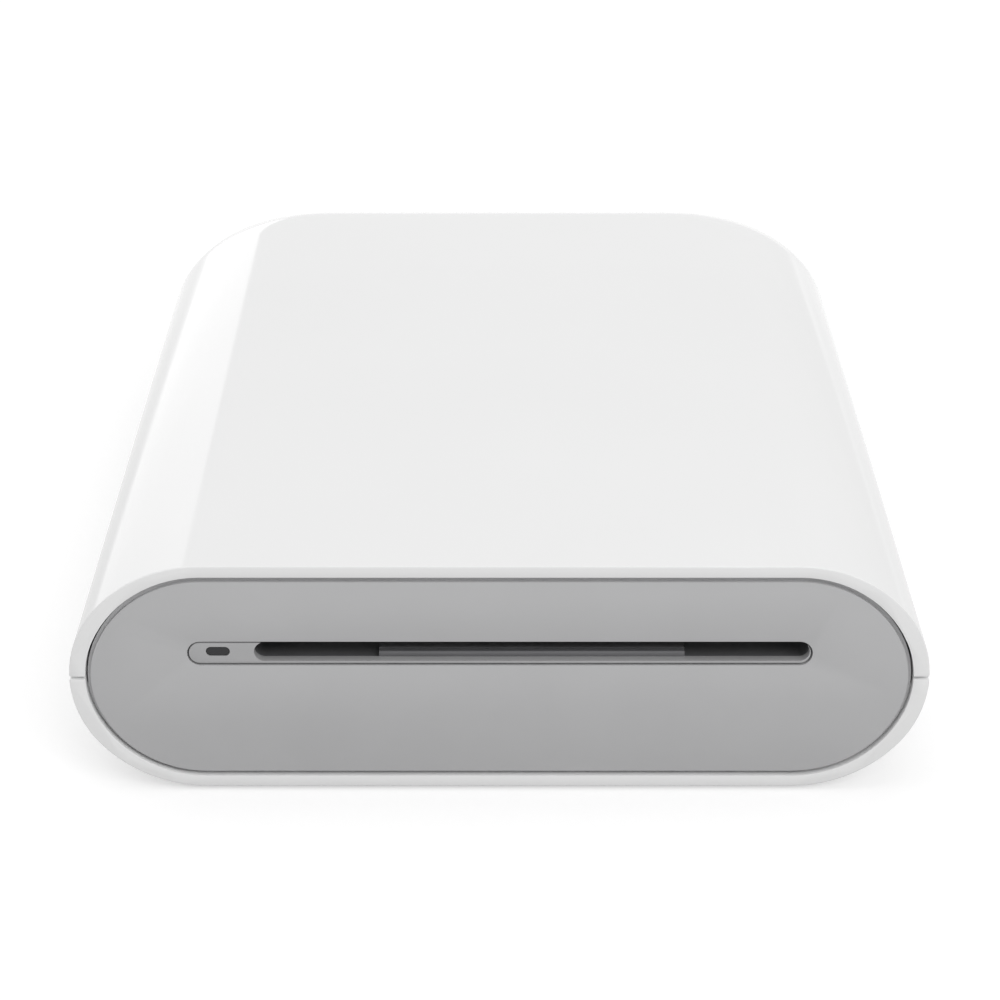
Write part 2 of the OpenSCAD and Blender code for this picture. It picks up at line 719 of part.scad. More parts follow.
module idler(at, teeth, phase) color("ivory") difference() {
  gear(outer_gear_x, at, teeth, phase);
  xrod(shaft_x0, plate_left, at, stud_r + shaft_play);
}

module front_idler() idler(idler_1, front_teeth, idler_1_phase);
module rear_idler() idler(idler_2, rear_teeth, idler_2_phase);

module motor_pinion() color("goldenrod") {
  gear(inner_gear_x, motor, pinion_teeth, pinion_phase);
  xrod(inner_gear_x, plate_left + 3.5, motor, motor_shaft_r);
}

// ---- Rollers ----

module platen_shaft() color("silver") xrod(shaft_x0, shaft_x1, platen, platen_shaft_r);

module platen_roller() color([0.15, 0.15, 0.15]) difference() {
  xrod(tray_left + 0.3, tray_right - 0.3, platen, platen_r);
  xrod(tray_left, tray_right, platen, platen_shaft_r + seat_play);
}

module pickup_shaft() color("silver") xrod(shaft_x0, shaft_x1, pickup, pickup_shaft_r);

module pickup_tyres() color([0.2, 0.2, 0.2]) for (s = [-1, 1]) difference() {
  x = path_x + s * tyre_x;
  xrod(x - tyre_w / 2, x + tyre_w / 2, pickup, pickup_r);
  xrod(x - tyre_w, x + tyre_w, pickup, pickup_shaft_r + seat_play);
}

module drive_motor() color("silver") difference() {
  union() {
    intersection() {
      xrod(plate_left + 0.05, plate_left + motor_l, motor, motor_w / 2);
      box([plate_left, motor[0] - motor_w, motor_z - motor_h / 2],
          [plate_left + motor_l + 1, motor[0] + motor_w, motor_z + motor_h / 2]);
    }
    xrod(plate_left - 0.8, plate_left + 1, motor, 2);
    xrod(plate_left + motor_l - eps, plate_left + motor_l + 1, motor, 3.4);
  }
  xrod(plate_left - 2, plate_left + 4, motor, motor_shaft_r + shaft_play);
}

// ---- Print head ----

module print_head() color([0.9, 0.9, 0.86]) {
  box([head_x0, platen[0] - 3.5, head_z], [head_x1, platen[0] + 3.5, head_z + head_t]);
  intersection() {
    xrod(head_x0 + 0.5, head_x1 - 0.5, [platen[0], head_z + 1.3], 1.5);
    box([head_x0, platen[0] - 2, nip_z], [head_x1, platen[0] + 2, head_z + eps]);
  }
}

module heat_sink() color([0.75, 0.76, 0.78]) difference() {
  box([head_x0 + 1, platen[0] - 5, sink_z], [head_x1 - 1, platen[0] + 4.5, sink_z + sink_t]);
  for (y = [platen[0] - 3.4:2.4:platen[0] + 3])
    box([head_x0 + 3, y, sink_z + 0.7], [head_x1 - 3, y + 1, sink_z + sink_t + 1]);
}

module head_bracket() color([0.7, 0.7, 0.72]) difference() {
  union() {
    box([head_x0, platen[0] - 5, bracket_z], [head_x1, head_pivot[0] + 1.6, bracket_z + bracket_t]);
    for (x = [head_x0, head_x1 - 1]) {
      xrod(x, x + 1, head_pivot, 1.6);
      box([x, head_pivot[0] - 1.6, head_pivot[1]], [x + 1, head_pivot[0] + 1.6, bracket_z + eps]);
    }
  }
  xrod(head_x0 - 1, head_x1 + 1, head_pivot, head_pivot_r + shaft_play);
  for (s = [-1, 1])
    translate([path_x + s * head_spring_x, platen[0] + 6.5, bracket_z - 1]) cylinder(h = 3, r = 1.2);
}

module head_pivot_pin() color("silver")
  xrod(plate_left - plate_t, plate_right + plate_t, head_pivot, head_pivot_r);

// Outer form of an upright spring
module coil(x, y, z0, z1, r) translate([x, y, z0]) difference() {
  cylinder(h = z1 - z0, r = r);
  translate([0, 0, -1]) cylinder(h = z1 - z0 + 2, r = r - 0.4);
}

module head_springs() color("silver") for (s = [-1, 1])
  coil(path_x + s * head_spring_x, platen[0], bracket_z + bracket_t, plate_z1, head_spring_r);

// Pressed cover of the print head, screwed across the two side plates
module head_bridge() color([0.6, 0.6, 0.62]) {
  box([plate_left - plate_t, plate_y0 + 1, plate_z1],
      [plate_right + plate_t, head_pivot[0] + 1, plate_z1 + 0.8]);
  box([plate_left + 0.3, plate_y0 + 1, plate_z1 - 2], [plate_right - 0.3, plate_y0 + 1.8, plate_z1 + 0.4]);
}

// ---- Press plate and paper lever ----

module press_frame() translate([0, press_pivot[0], press_pivot[1]]) rotate([press_slope, 0, 0]) children();

module press_plate() color("silver") press_frame() difference() {
  union() {
    box([path_x - press_w / 2, -press_l, -1 - press_t], [path_x + press_w / 2, 0, -1]);
    for (s = [-1, 1]) {
      x = path_x + s * (press_w / 2 - 0.4);
      box([x - 0.4, -press_l + 3, -1.2], [x + 0.4, 0, 0.2]);
      xrod(x - 0.4, x + 0.4, [0, 0], 1.3);
    }
    xrod(path_x - press_w / 2 - 1.7, path_x + press_w / 2 + 1.7, [0, 0], press_pin_r);
  }
  for (s = [-1, 1]) translate([path_x + s * 7, -press_l + 8, -3]) cylinder(h = 4, r = 1.2);
}

module press_pad() color([0.2, 0.2, 0.22]) press_frame()
  box([path_x - pad_w / 2, -press_l + 0.5, -1 - press_t - pad_t], [path_x + pad_w / 2, -press_l + 6, -1 - press_t]);

module press_springs() color("silver") for (s = [-1, 1])
  coil(path_x + s * press_spring_x, press_pivot[0] - press_spring_back, press_spring_z, z_roof, press_spring_r);

module paper_lever() color([0.1, 0.1, 0.1]) {
  xplate(lever_x - lever_t / 2, lever_x + lever_t / 2) translate(lever_pivot) {
    circle(r = 1.3);
    polygon([[0.6, -1.1], [-5, 4.6], [-6.6, 4.9], [-7.2, 3.6], [-6, 2.6], [-1, -0.8]]);
  }
  xrod(lever_x - lever_t / 2 - 1.4, lever_x + lever_t / 2 + 1.4, lever_pivot, lever_pin_r);
}

// ---- Boards and battery ----

module main_board() color([0.1, 0.35, 0.2]) difference() {
  box([board_x0, board_y0, board_top - board_t], [board_x1, board_y1, board_top]);
  for (x = board_post_x, y = board_post_y) translate([x, y, 0]) cylinder(h = 30, r = screw_r + screw_play);
}

// Parts under the board: each one's corner from the board's own corner, then its length, width and height
module board_chips() color([0.1, 0.1, 0.12])
  for (c = [[15, 6, 12, 12, 1], [31, 8, 8, 6, 0.9], [5, 10, 6, 6, 1.4], [31, 18, 6, 4, 1.8]])
    translate([board_x0 + c[0], board_y0 + c[1], board_top - board_t - c[4]]) cube([c[2], c[3], c[4]]);

module charging_port() color("silver") difference() {
  yplate(y_rear - 6.6, y_rear - 0.9) stadium(0, z_mid, port_w - 0.4, port_h - 0.4);
  yplate(port_floor, y_rear) stadium(0, z_mid, port_w - 1.1, port_h - 1.1);
}

// Tongue that carries the contacts of the charging port
module port_tongue() color([0.1, 0.1, 0.12])
  box([1.2 - port_w / 2, port_floor, z_mid - 0.35], [port_w / 2 - 1.2, y_rear - 1.7, z_mid + 0.35]);

module power_switch() color([0.15, 0.15, 0.15]) difference() {
  box([button_x - 3, board_y1 - 2, board_top], [button_x + 3, switch_front, board_top + 2.6]);
  yplate(switch_front - 1.4, switch_front + 1) stadium(button_x, board_top + 1.3, 2.6, 1.4);
}

// Plunger between the power button and the spring inside the switch
module switch_plunger() color([0.85, 0.85, 0.8])
  yplate(switch_front - 0.6, button_back) stadium(button_x, board_top + 1.3, 2.4, 1.2);

module reset_switch() color([0.15, 0.15, 0.15])
  box([reset_x - 2, board_y1 - 2.4, board_top], [reset_x + 2, board_y1 + 0.4, board_top + 2]);

module lamp_board() color([0.1, 0.35, 0.2]) {
  y = lens_back + 0.6;
  box([tray_left - tray_wall - 8, y, z_mid - 2], [path_x - slot_w / 2 - 1.6, y + 0.8, z_mid + 5]);
  box([lens_x - 0.8, y - 0.4, lens_z - 0.4], [lens_x + 0.8, y + eps, lens_z + 0.4]);
}

module battery() color([0.75, 0.75, 0.78]) difference() {
  cell_top = z_floor + 0.1 + cell_t;
  box([cell_x0, cell_y0, z_floor + 0.1], [cell_x1, cell_y1, cell_top]);
  // Fold of the pouch along both long edges
  for (x = [cell_x0, cell_x1])
    translate([x, cell_y0 - 1, cell_top]) rotate([-90, 0, 0]) cylinder(h = cell_y1 - cell_y0 + 2, r = 0.8);
}

module tray_screws() color("silver") {
  for (x = tray_post_x, y = tray_post_y) screw(x, y, tray_under + tray_tab_t);
  for (x = board_post_x, y = board_post_y) screw(x, y, board_top);
}

// Pan-head screw whose head sits on z
module screw(x, y, z) translate([x, y, z]) difference() {
  union() {
    cylinder(h = 0.9, r = screw_head_r);
    translate([0, 0, -screw_l]) cylinder(h = screw_l + eps, r = screw_r);
  }
  for (a = [0, 90]) rotate([0, 0, a]) translate([-1, -0.2, 0.4]) cube([2, 0.4, 1]);
}

base_shell();
top_cover();
front_panel();
slot_inlay();
exit_guide();
status_lens();
rubber_feet();
hinge_pins();
paper_tray();
gear_plate();
bearing_plate();
platen_bushes();
pickup_bushes();
gear_studs();
platen_shaft();
platen_roller();
platen_gear();
pickup_shaft();
pickup_tyres();
pickup_gear();
step_gear();
front_idler();
rear_idler();
motor_pinion();
drive_motor();
print_head();
heat_sink();
head_bracket();
head_pivot_pin();
head_springs();
head_bridge();
press_plate();
press_pad();
press_springs();
paper_lever();
main_board();
board_chips();
charging_port();
port_tongue();
power_switch();
switch_plunger();
reset_switch();
lamp_board();
battery();
power_button();
tray_screws();
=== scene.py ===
# %% [markdown]
# A compact photo printer: a flat white case whose whole upper half is a cover on a rear hinge, with a grey
# front panel and a paper slot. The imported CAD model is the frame: it fixes every size and every moving body.
# This script gives the visible pieces their finish, and remodels those whose edges catch the light.

# %% Load the frame
import json
import math
from contextlib import contextmanager

import bmesh
import bpy
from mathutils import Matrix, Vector


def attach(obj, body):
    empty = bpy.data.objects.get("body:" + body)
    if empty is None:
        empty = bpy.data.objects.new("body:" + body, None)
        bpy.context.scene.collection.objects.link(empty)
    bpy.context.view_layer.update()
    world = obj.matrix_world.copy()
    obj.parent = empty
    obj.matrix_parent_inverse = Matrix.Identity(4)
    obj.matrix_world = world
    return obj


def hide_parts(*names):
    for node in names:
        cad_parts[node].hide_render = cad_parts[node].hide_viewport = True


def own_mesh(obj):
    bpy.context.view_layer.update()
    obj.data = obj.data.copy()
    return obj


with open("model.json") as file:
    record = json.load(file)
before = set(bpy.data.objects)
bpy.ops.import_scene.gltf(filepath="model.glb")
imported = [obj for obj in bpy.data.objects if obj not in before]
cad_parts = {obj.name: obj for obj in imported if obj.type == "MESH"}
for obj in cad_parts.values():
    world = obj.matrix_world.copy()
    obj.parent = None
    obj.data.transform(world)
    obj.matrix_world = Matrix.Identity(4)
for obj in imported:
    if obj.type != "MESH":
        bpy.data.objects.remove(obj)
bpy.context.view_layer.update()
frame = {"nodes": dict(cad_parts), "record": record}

nodes = frame["nodes"]

# %% [markdown]
# Lengths are in millimetres, as on a drawing, and become metres in one place. Each new piece starts as a
# primitive, is shaped in edit mode, and ends with its place in its mesh, so that its object stays at the
# origin like the CAD nodes. Operators act on all that is selected, and the CAD nodes come in selected, so
# everything is deselected before each step and the faces or edges are then chosen by a test.

# %% Small tools
MM = 0.001
TINY = 1e-6


def mm(*values):
    return Vector(values) * MM


def only(obj):
    """Makes this the one selected and active object."""
    if bpy.context.mode != "OBJECT":
        bpy.ops.object.mode_set(mode="OBJECT")
    bpy.ops.object.select_all(action="DESELECT")
    obj.select_set(True)
    bpy.context.view_layer.objects.active = obj


def settle(name):
    """Names the primitive just added and puts its place, turn and size into its mesh."""
    obj = bpy.context.active_object
    only(obj)
    bpy.ops.object.transform_apply(location=True, rotation=True, scale=True)
    obj.name = obj.data.name = name
    return obj


@contextmanager
def editing(obj, kind="EDGE"):
    only(obj)
    bpy.ops.object.mode_set(mode="EDIT")
    bpy.ops.mesh.select_mode(type=kind)
    bpy.ops.mesh.select_all(action="DESELECT")
    yield
    bpy.ops.object.mode_set(mode="OBJECT")


def choose(kind, test):
    """Selects the edges or faces that pass the test, in edit mode, and counts them."""
    bpy.ops.mesh.select_all(action="DESELECT")
    mesh = bmesh.from_edit_mesh(bpy.context.active_object.data)
    chosen = [item for item in getattr(mesh, kind) if test(item)]
    for item in chosen:
        item.select_set(True)
    mesh.select_flush_mode()
    bmesh.update_edit_mesh(bpy.context.active_object.data)
    return len(chosen)


def face_outwards():
    """Turns the faces of the mesh in edit mode outwards, all round."""
    bpy.ops.mesh.select_all(action="SELECT")
    bpy.ops.mesh.normals_make_consistent(inside=False)


def sharp(edge, degrees=35):
    """Whether the two faces of an edge meet at more than this angle."""
    return len(edge.link_faces) == 2 and edge.calc_face_angle(0) > math.radians(degrees)


def apply(obj, kind, **settings):
    only(obj)
    modifier = obj.modifiers.new(kind.lower(), kind)
    for key, value in settings.items():
        setattr(modifier, key, value)
    bpy.ops.object.modifier_apply(modifier=modifier.name)


def combine(obj, how, *others):
    """Adds the others to an object, takes them away or keeps what they share, and removes them."""
    for other in others:
        apply(obj, "BOOLEAN", operation=how, object=other, solver="EXACT")
        bpy.data.objects.remove(other)
    return obj


def joined(name, *objs):
    only(objs[0])
    for obj in objs:
        obj.select_set(True)
    bpy.ops.object.join()
    return settle(name)


def round_edges(obj, by, test=sharp, segments=2):
    with editing(obj):
        if choose("edges", test):
            bpy.ops.mesh.bevel(offset=by * MM, segments=segments, affect="EDGES", clamp_overlap=False)
    return obj


def smooth(obj, degrees=32):
    only(obj)
    bpy.ops.object.shade_smooth_by_angle(angle=math.radians(degrees))
    return obj


print("tools ready")

# %% [markdown]
# Four stock shapes come up again and again: a block between two corners, a rod along the width, an upright
# post, and a plate cut to an outline. Their edges can be broken at once, because no moulded edge is truly
# sharp and a broken edge is what shines. Most openings of the case are pills, bars with round ends.

# %% Stock shapes
def block(low, high, by=0.0):
    low, high = Vector(low), Vector(high)
    bpy.ops.mesh.primitive_cube_add(size=1, location=(low + high) / 2 * MM, scale=(high - low) * MM)
    obj = settle("block")
    return round_edges(obj, by) if by else obj


def rod(x0, x1, at, r, by=0.0, sides=48):
    """A rod along the width, at a place (y, z)."""
    middle = mm((x0 + x1) / 2, *at)
    bpy.ops.mesh.primitive_cylinder_add(
        vertices=sides, radius=r * MM, depth=(x1 - x0) * MM, location=middle, rotation=(0, math.pi / 2, 0))
    obj = settle("rod")
    return round_edges(obj, by) if by else obj


def post(x, y, z0, z1, r, by=0.0, sides=40, name="post"):
    bpy.ops.mesh.primitive_cylinder_add(
        vertices=sides, radius=r * MM, depth=(z1 - z0) * MM, location=mm(x, y, (z0 + z1) / 2))
    obj = settle(name)
    return round_edges(obj, by) if by else obj


def plate(points, y0, y1, name="plate"):
    """A flat outline of (x, z) points, pulled out from y0 to y1."""
    bpy.ops.mesh.primitive_circle_add(vertices=len(points), fill_type="NGON")
    obj = settle(name)
    for vertex, (x, z) in zip(obj.data.vertices, points):
        vertex.co = mm(x, y0, z)
    with editing(obj, "FACE"):
        bpy.ops.mesh.select_all(action="SELECT")
        bpy.ops.mesh.extrude_region_move(TRANSFORM_OT_translate={"value": mm(0, y1 - y0, 0)})
        face_outwards()
    return obj


def pill(cx, cz, w, h, steps=20):
    """Points of an outline with round ends, anticlockwise as seen from the front."""
    reach, r = (w - h) / 2, h / 2
    points = []
    for x, start in ((cx + reach, -90), (cx - reach, 90)):
        angles = [math.radians(start + 180 * i / steps) for i in range(steps + 1)]
        points += [(x + r * math.cos(angle), cz + r * math.sin(angle)) for angle in angles]
    return points


def oval(left, right, low, high):
    """The same outline, given by its four sides."""
    return pill((left + right) / 2, (low + high) / 2, right - left, high - low)


def ring_points(cx, cz, r, count=32):
    angles = [2 * math.pi * i / count for i in range(count)]
    return [(cx + r * math.cos(angle), cz + r * math.sin(angle)) for angle in angles]


print("stock shapes ready")

# %% [markdown]
# The case is one pill-shaped section: a small arc on each side that runs into a flatter arc and then into the
# level top. A block whose corners are rounded afterwards doesn't keep that section all the way round. So half
# of the section is drawn once, pulled back to where the corners begin, spun a quarter turn round the corner
# and run in to the middle, then mirrored. It leaves clean rows of faces for the gloss to run over.

# %% Case section
HALF_W, HALF_H = 42.5, 12.1
Y_FRONT, Y_REAR, Z_MID = -62.0, 62.0, 12.5
PLAN_R, CAP, SIDE_R = 20.3, 13.2, 11.2
CORNER_X, CORNER_Y, CORNER_STEPS = HALF_W - PLAN_R, Y_REAR - PLAN_R, 22
WALL_SIDE, WALL_FACE = 1.6, 1.2
Z_ROOF, Z_FLOOR = Z_MID + HALF_H - WALL_FACE, Z_MID - HALF_H + WALL_FACE


def side_curve(side, face, steps=14):
    """The right side of the section, from its lowest point to its highest.

    side and face set it in from the skin, where the wall is upright and where it is level. The small arc has
    its centre at mid-height. The big one takes over at the angle bend and ends level, at cap from the side.
    """
    half_w, half_h, cap, r = HALF_W - side, HALF_H - face, CAP - side, SIDE_R - side
    big = (cap * cap + half_h * half_h - 2 * cap * r) / (2 * (half_h - r))
    bend = math.atan2(big - half_h, cap - r)
    small_angles = [bend * i / steps for i in range(steps + 1)]
    big_angles = [bend + (math.pi / 2 - bend) * i / steps for i in range(1, steps + 1)]
    quarter = [(half_w - r + r * math.cos(angle), r * math.sin(angle)) for angle in small_angles]
    for angle in big_angles:
        quarter.append((half_w - cap + big * math.cos(angle), half_h - big + big * math.sin(angle)))
    return [(x, -z) for x, z in reversed(quarter)] + quarter[1:]


def whole_section(side, face):
    right = side_curve(side, face)
    return [(x, Z_MID + z) for x, z in right] + [(-x, Z_MID + z) for x, z in reversed(right)]


def sweep_case(name):
    """The whole wall of the case, from half of its section."""
    corner = mm(CORNER_X, CORNER_Y, 0)

    def half_section(side, face):
        z = HALF_H - face
        return [(0, -z), (CORNER_X, -z)] + side_curve(side, face) + [(CORNER_X, z), (0, z)]

    def off_the_middle(edge):
        return max(vertex.co.x for vertex in edge.verts) > TINY

    def beyond_corner(edge):
        return all(v.co.x > corner.x - TINY and v.co.y > corner.y - TINY for v in edge.verts)

    def at_end_of_spin(edge):
        return all(abs(v.co.x - corner.x) < TINY and v.co.y > corner.y - TINY for v in edge.verts)

    band = half_section(0, 0) + half_section(WALL_SIDE, WALL_FACE)[::-1]
    bpy.ops.mesh.primitive_circle_add(vertices=len(band), fill_type="NGON")
    obj = settle(name)
    for vertex, (x, z) in zip(obj.data.vertices, band):
        vertex.co = mm(x, Y_FRONT, Z_MID + z)
    with editing(obj):
        choose("edges", off_the_middle)
        bpy.ops.mesh.extrude_edges_move(TRANSFORM_OT_translate={"value": mm(0, CORNER_Y - Y_FRONT, 0)})
        choose("edges", beyond_corner)
        bpy.ops.mesh.spin(steps=CORNER_STEPS, angle=-math.pi / 2, center=corner, axis=(0, 0, 1))
        bpy.ops.mesh.select_all(action="SELECT")
        bpy.ops.mesh.remove_doubles(threshold=TINY)
        choose("edges", at_end_of_spin)
        bpy.ops.mesh.extrude_edges_move(TRANSFORM_OT_translate={"value": mm(-CORNER_X, 0, 0)})
        bpy.ops.mesh.select_all(action="SELECT")
        bpy.ops.mesh.remove_doubles(threshold=TINY)
    apply(obj, "MIRROR", use_axis=(True, False, False), merge_threshold=TINY * 10)
    with editing(obj):
        face_outwards()
    return obj


case_wall = sweep_case("case_wall")
print("case wall:", len(case_wall.data.polygons), "faces")

# %% [markdown]
# The cover is everything above the seam and in front of the hinge, with a round lip that rolls about the
# hinge axis. A boolean keeps that much of the wall, so that cover and base share one skin and meet without a
# step. The outer edges of the rim and the seam then get a small rounding, which draws the thin bright line
# along the front, and the inner edges a finer one.

# %% Cover shell
HINGE, LIP_R, LIP_GAP, LIP_HALF_W = (53.5, 21.0295), 2.8, 0.25, 43
SEAM = 0.15
SKIN_EDGE, LINING_EDGE = 0.15, 0.05
CREASE = 50
CLEAR_OF_LIP = (2, 3.6)
# Planes past the case, where the blocks that cut it end
PAST_SIDE, PAST_FRONT, PAST_TOP = 44, -64, 30
MIDDLE_OF_WALL = side_curve(WALL_SIDE / 2, WALL_FACE / 2, steps=80)


def copy_of(obj, name):
    only(obj)
    bpy.ops.object.duplicate()
    return settle(name)


def hinge_side(low, gap, r):
    """What lies above a level and in front of the hinge, with the roll of the lip."""
    space = block((-PAST_SIDE, PAST_FRONT, low), (PAST_SIDE, HINGE[0] + gap, PAST_TOP))
    return combine(space, "UNION", rod(-LIP_HALF_W, LIP_HALF_W, HINGE, r, sides=96))


def rim_edge(edge):
    middle = (edge.verts[0].co + edge.verts[1].co) / 2 / MM
    clear = middle.y < HINGE[0] - CLEAR_OF_LIP[0] or middle.z < HINGE[1] - CLEAR_OF_LIP[1]
    return sharp(edge, CREASE) and clear


def on_skin(point):
    """Whether a point of the wall's edge is nearer to the skin than to the lining."""
    out, back = max(abs(point.x) / MM - CORNER_X, 0), max(point.y / MM - CORNER_Y, 0)
    across, up = CORNER_X + math.hypot(out, back), abs(point.z / MM - Z_MID)
    above = [x for x, z in MIDDLE_OF_WALL if z >= up]
    return not above or across > max(above)


def skin_edge(edge):
    return rim_edge(edge) and all(on_skin(vertex.co) for vertex in edge.verts)


def half_of_case(name, how, space):
    """The half of the case that a space cuts out or leaves, with its edges rounded."""
    shell = combine(copy_of(case_wall, name), how, space)
    round_edges(shell, SKIN_EDGE, skin_edge, segments=3)
    return round_edges(shell, LINING_EDGE, rim_edge)


cover = half_of_case("cover_shell", "INTERSECT", hinge_side(Z_MID + SEAM, 0, LIP_R))
print("cover shell:", len(cover.data.polygons), "faces")

# %% [markdown]
# Under the skin the cover carries what a moulding of this kind needs: knuckles for the hinge pins, low ribs
# that keep the roof level, and two ears for the press plate. They show when the cover is up. Each is a stock
# shape whose root goes a little way into the wall, so that the union leaves one closed solid.

# %% Cover: knuckles, ribs and ears
KNUCKLE, KNUCKLE_ROOM, KNUCKLE_REAR = (21.4, 25.8), 3.8, 1.1
EAR_R, EAR_T, EAR_GAP = 1.5, 1.2, 0.2
PATH_X, GATE_Y, TRAY_REAR = 3.2, -28.0, 49.0
PRESS_PIVOT, PRESS_W, PRESS_EAR_HALF, PRESS_EAR_R = (2.0, 20.6), 28.0, 0.7, 1.5
RIB_X, RIB_HALF_T, RIB_DROP, RIB_EDGE, RIB_Y = 20, 0.5, 0.8, 0.15, (GATE_Y, TRAY_REAR - 4)
CROSS_RIB_REACH, CROSS_RIBS_Y = 24, (GATE_Y + 2, TRAY_REAR - 8)
PIN_REACH, PIN_HOLE, PRESS_PIN_REACH, PRESS_PIN_HOLE = 30, 0.79, 17, 0.64
ROOT = 0.3

for side in (-1, 1):
    middle = side * sum(KNUCKLE) / 2
    combine(cover, "DIFFERENCE", rod(middle - KNUCKLE_ROOM, middle + KNUCKLE_ROOM, HINGE, EAR_R + EAR_GAP))
inside = []
for side in (-1, 1):
    x0, x1 = sorted(side * x for x in KNUCKLE)
    web_low = (x0, HINGE[0] - EAR_R, HINGE[1])
    web_high = (x1, HINGE[0] + KNUCKLE_REAR, HINGE[1] + EAR_R + ROOT)
    inside += [rod(x0, x1, HINGE, EAR_R, by=0.1), block(web_low, web_high, by=0.08)]

    x, (y, z) = PATH_X + side * (PRESS_W / 2 + 1), PRESS_PIVOT
    ear_low = (x - PRESS_EAR_HALF, y - PRESS_EAR_R, z)
    ear_high = (x + PRESS_EAR_HALF, y + PRESS_EAR_R, Z_ROOF + ROOT)
    ear_end = rod(x - PRESS_EAR_HALF, x + PRESS_EAR_HALF, PRESS_PIVOT, PRESS_EAR_R, by=0.08)
    inside += [block(ear_low, ear_high), ear_end]

    x = PATH_X + side * RIB_X
    rib_low = (x - RIB_HALF_T, RIB_Y[0], Z_ROOF - RIB_DROP)
    rib_high = (x + RIB_HALF_T, RIB_Y[1], Z_ROOF + ROOT)
    inside.append(block(rib_low, rib_high, by=RIB_EDGE))
for y in CROSS_RIBS_Y:
    rib_low = (PATH_X - CROSS_RIB_REACH, y, Z_ROOF - RIB_DROP)
    rib_high = (PATH_X + CROSS_RIB_REACH, y + 2 * RIB_HALF_T, Z_ROOF + ROOT)
    inside.append(block(rib_low, rib_high, by=RIB_EDGE))
combine(cover, "UNION", *inside)
combine(cover, "DIFFERENCE", rod(-PIN_REACH, PIN_REACH, HINGE, PIN_HOLE),
        rod(PATH_X - PRESS_PIN_REACH, PATH_X + PRESS_PIN_REACH, PRESS_PIVOT, PRESS_PIN_HOLE))
smooth(cover)
print("cover with its inside:", len(cover.data.polygons), "faces")

# %% [markdown]
# The base is the rest of the same wall. A shelf stands behind the panel, a thin lip closes the seam along
# each side, posts for the tray and the main board stand on the floor, and four ears hold the hinge pins. What
# joins the curved part of the wall is cut off at the middle of its thickness, or it would break through it.

# %% Base shell
TRAY_POSTS = [(x, y) for x in (-27.0, 33.5) for y in (-8.0, 38.0)]
BOARD_POSTS = [(x, y) for x in (-18.0, 22.0) for y in (29.4, 48.9)]
TRAY_UNDER, BOARD_UNDER, POST_R, POST_ROOT, POST_REACH = 13.2, 10.15, 2.2, 0.5, 3
PANEL_BACK, SHELF_T, SHELF_W, SHELF_DOWN = -60.9, 1.2, 1.4, 1
SHELF_CUT, PAST_SHELF = (PANEL_BACK - 1, PANEL_BACK + 2), -55
SEAM_LIP_IN, SEAM_LIP_T, SEAM_LIP_H, SEAM_ROOT, ROOT_END = 0.25, 0.7, 1.2, 0.5, 0.3
SEAM_LIP_Y = (PANEL_BACK + SHELF_T + 0.3, CORNER_Y - 2)
EARS_X, WEB_FRONT, WEB_UP, WEB_REAR, WEB_IN = (20.0, 26.0, -21.2, -27.2), 1.3, 1.5, 1.8, 0.04
ARM_FRONT, ARM_DOWN, ARM_REAR, ARM_IN, LIP_CLEAR = 1.25, 0.5, 0.4, 0.08, 0.6


def within_wall(y0, y1):
    """A plate that fills the case up to the middle of its wall."""
    return plate(whole_section(WALL_SIDE / 2, WALL_FACE / 2), y0, y1)


base = half_of_case("base_case", "DIFFERENCE", hinge_side(Z_MID - SEAM, LIP_GAP, LIP_R + LIP_GAP))
bpy.data.objects.remove(case_wall)

shelf = combine(
    within_wall(PANEL_BACK, PANEL_BACK + SHELF_T), "DIFFERENCE",
    plate(whole_section(WALL_SIDE + SHELF_W, WALL_FACE + SHELF_W), *SHELF_CUT),
    block((-PAST_SIDE, PAST_FRONT, Z_MID - SHELF_DOWN), (PAST_SIDE, PAST_SHELF, PAST_TOP)))
inside = [shelf]
lip_out, (y0, y1) = HALF_W - WALL_SIDE - SEAM_LIP_IN, SEAM_LIP_Y
for side in (-1, 1):
    x0, x1 = sorted((side * lip_out, side * (lip_out - SEAM_LIP_T)))
    inside.append(block((x0, y0, Z_MID - SEAM_LIP_H), (x1, y1, Z_MID + SEAM_LIP_H), by=0.1))
    root_low = (x0 - SEAM_ROOT, y0 + ROOT_END, Z_MID - SEAM_LIP_H + 0.1)
    inside.append(block(root_low, (x1 + SEAM_ROOT, y1 - ROOT_END, Z_MID - SEAM_ROOT)))
for x, y in TRAY_POSTS:
    leg = post(x, y, Z_FLOOR - POST_ROOT, TRAY_UNDER, POST_R, by=0.1)
    inside.append(combine(leg, "INTERSECT", within_wall(y - POST_REACH, y + POST_REACH)))
for x, y in BOARD_POSTS:
    inside.append(post(x, y, Z_FLOOR - POST_ROOT, BOARD_UNDER, POST_R, by=0.1))
web_top = HINGE[1] - LIP_R - LIP_CLEAR
for x0 in EARS_X:
    web_low = (x0 + WEB_IN, HINGE[0] - WEB_FRONT, Z_MID + WEB_UP)
    arm_low = (x0 + ARM_IN, HINGE[0] - ARM_FRONT, web_top - ARM_DOWN)
    inside.append(block(web_low, (x0 + EAR_T - WEB_IN, Y_REAR - WEB_REAR, web_top)))
    inside.append(block(arm_low, (x0 + EAR_T - ARM_IN, HINGE[0] + ARM_REAR, HINGE[1])))
    inside.append(rod(x0, x0 + EAR_T, HINGE, EAR_R, by=0.08))
combine(base, "UNION", *inside)
print("base shell:", len(base.data.polygons), "faces")

# %% [markdown]
# The base's rear wall has openings for the power button, the charging port and the reset pin, and its floor
# has a recess for each foot. They are cut last, each by a tool of its own outline, and the edges that show on
# the rear face are then broken like the rim.

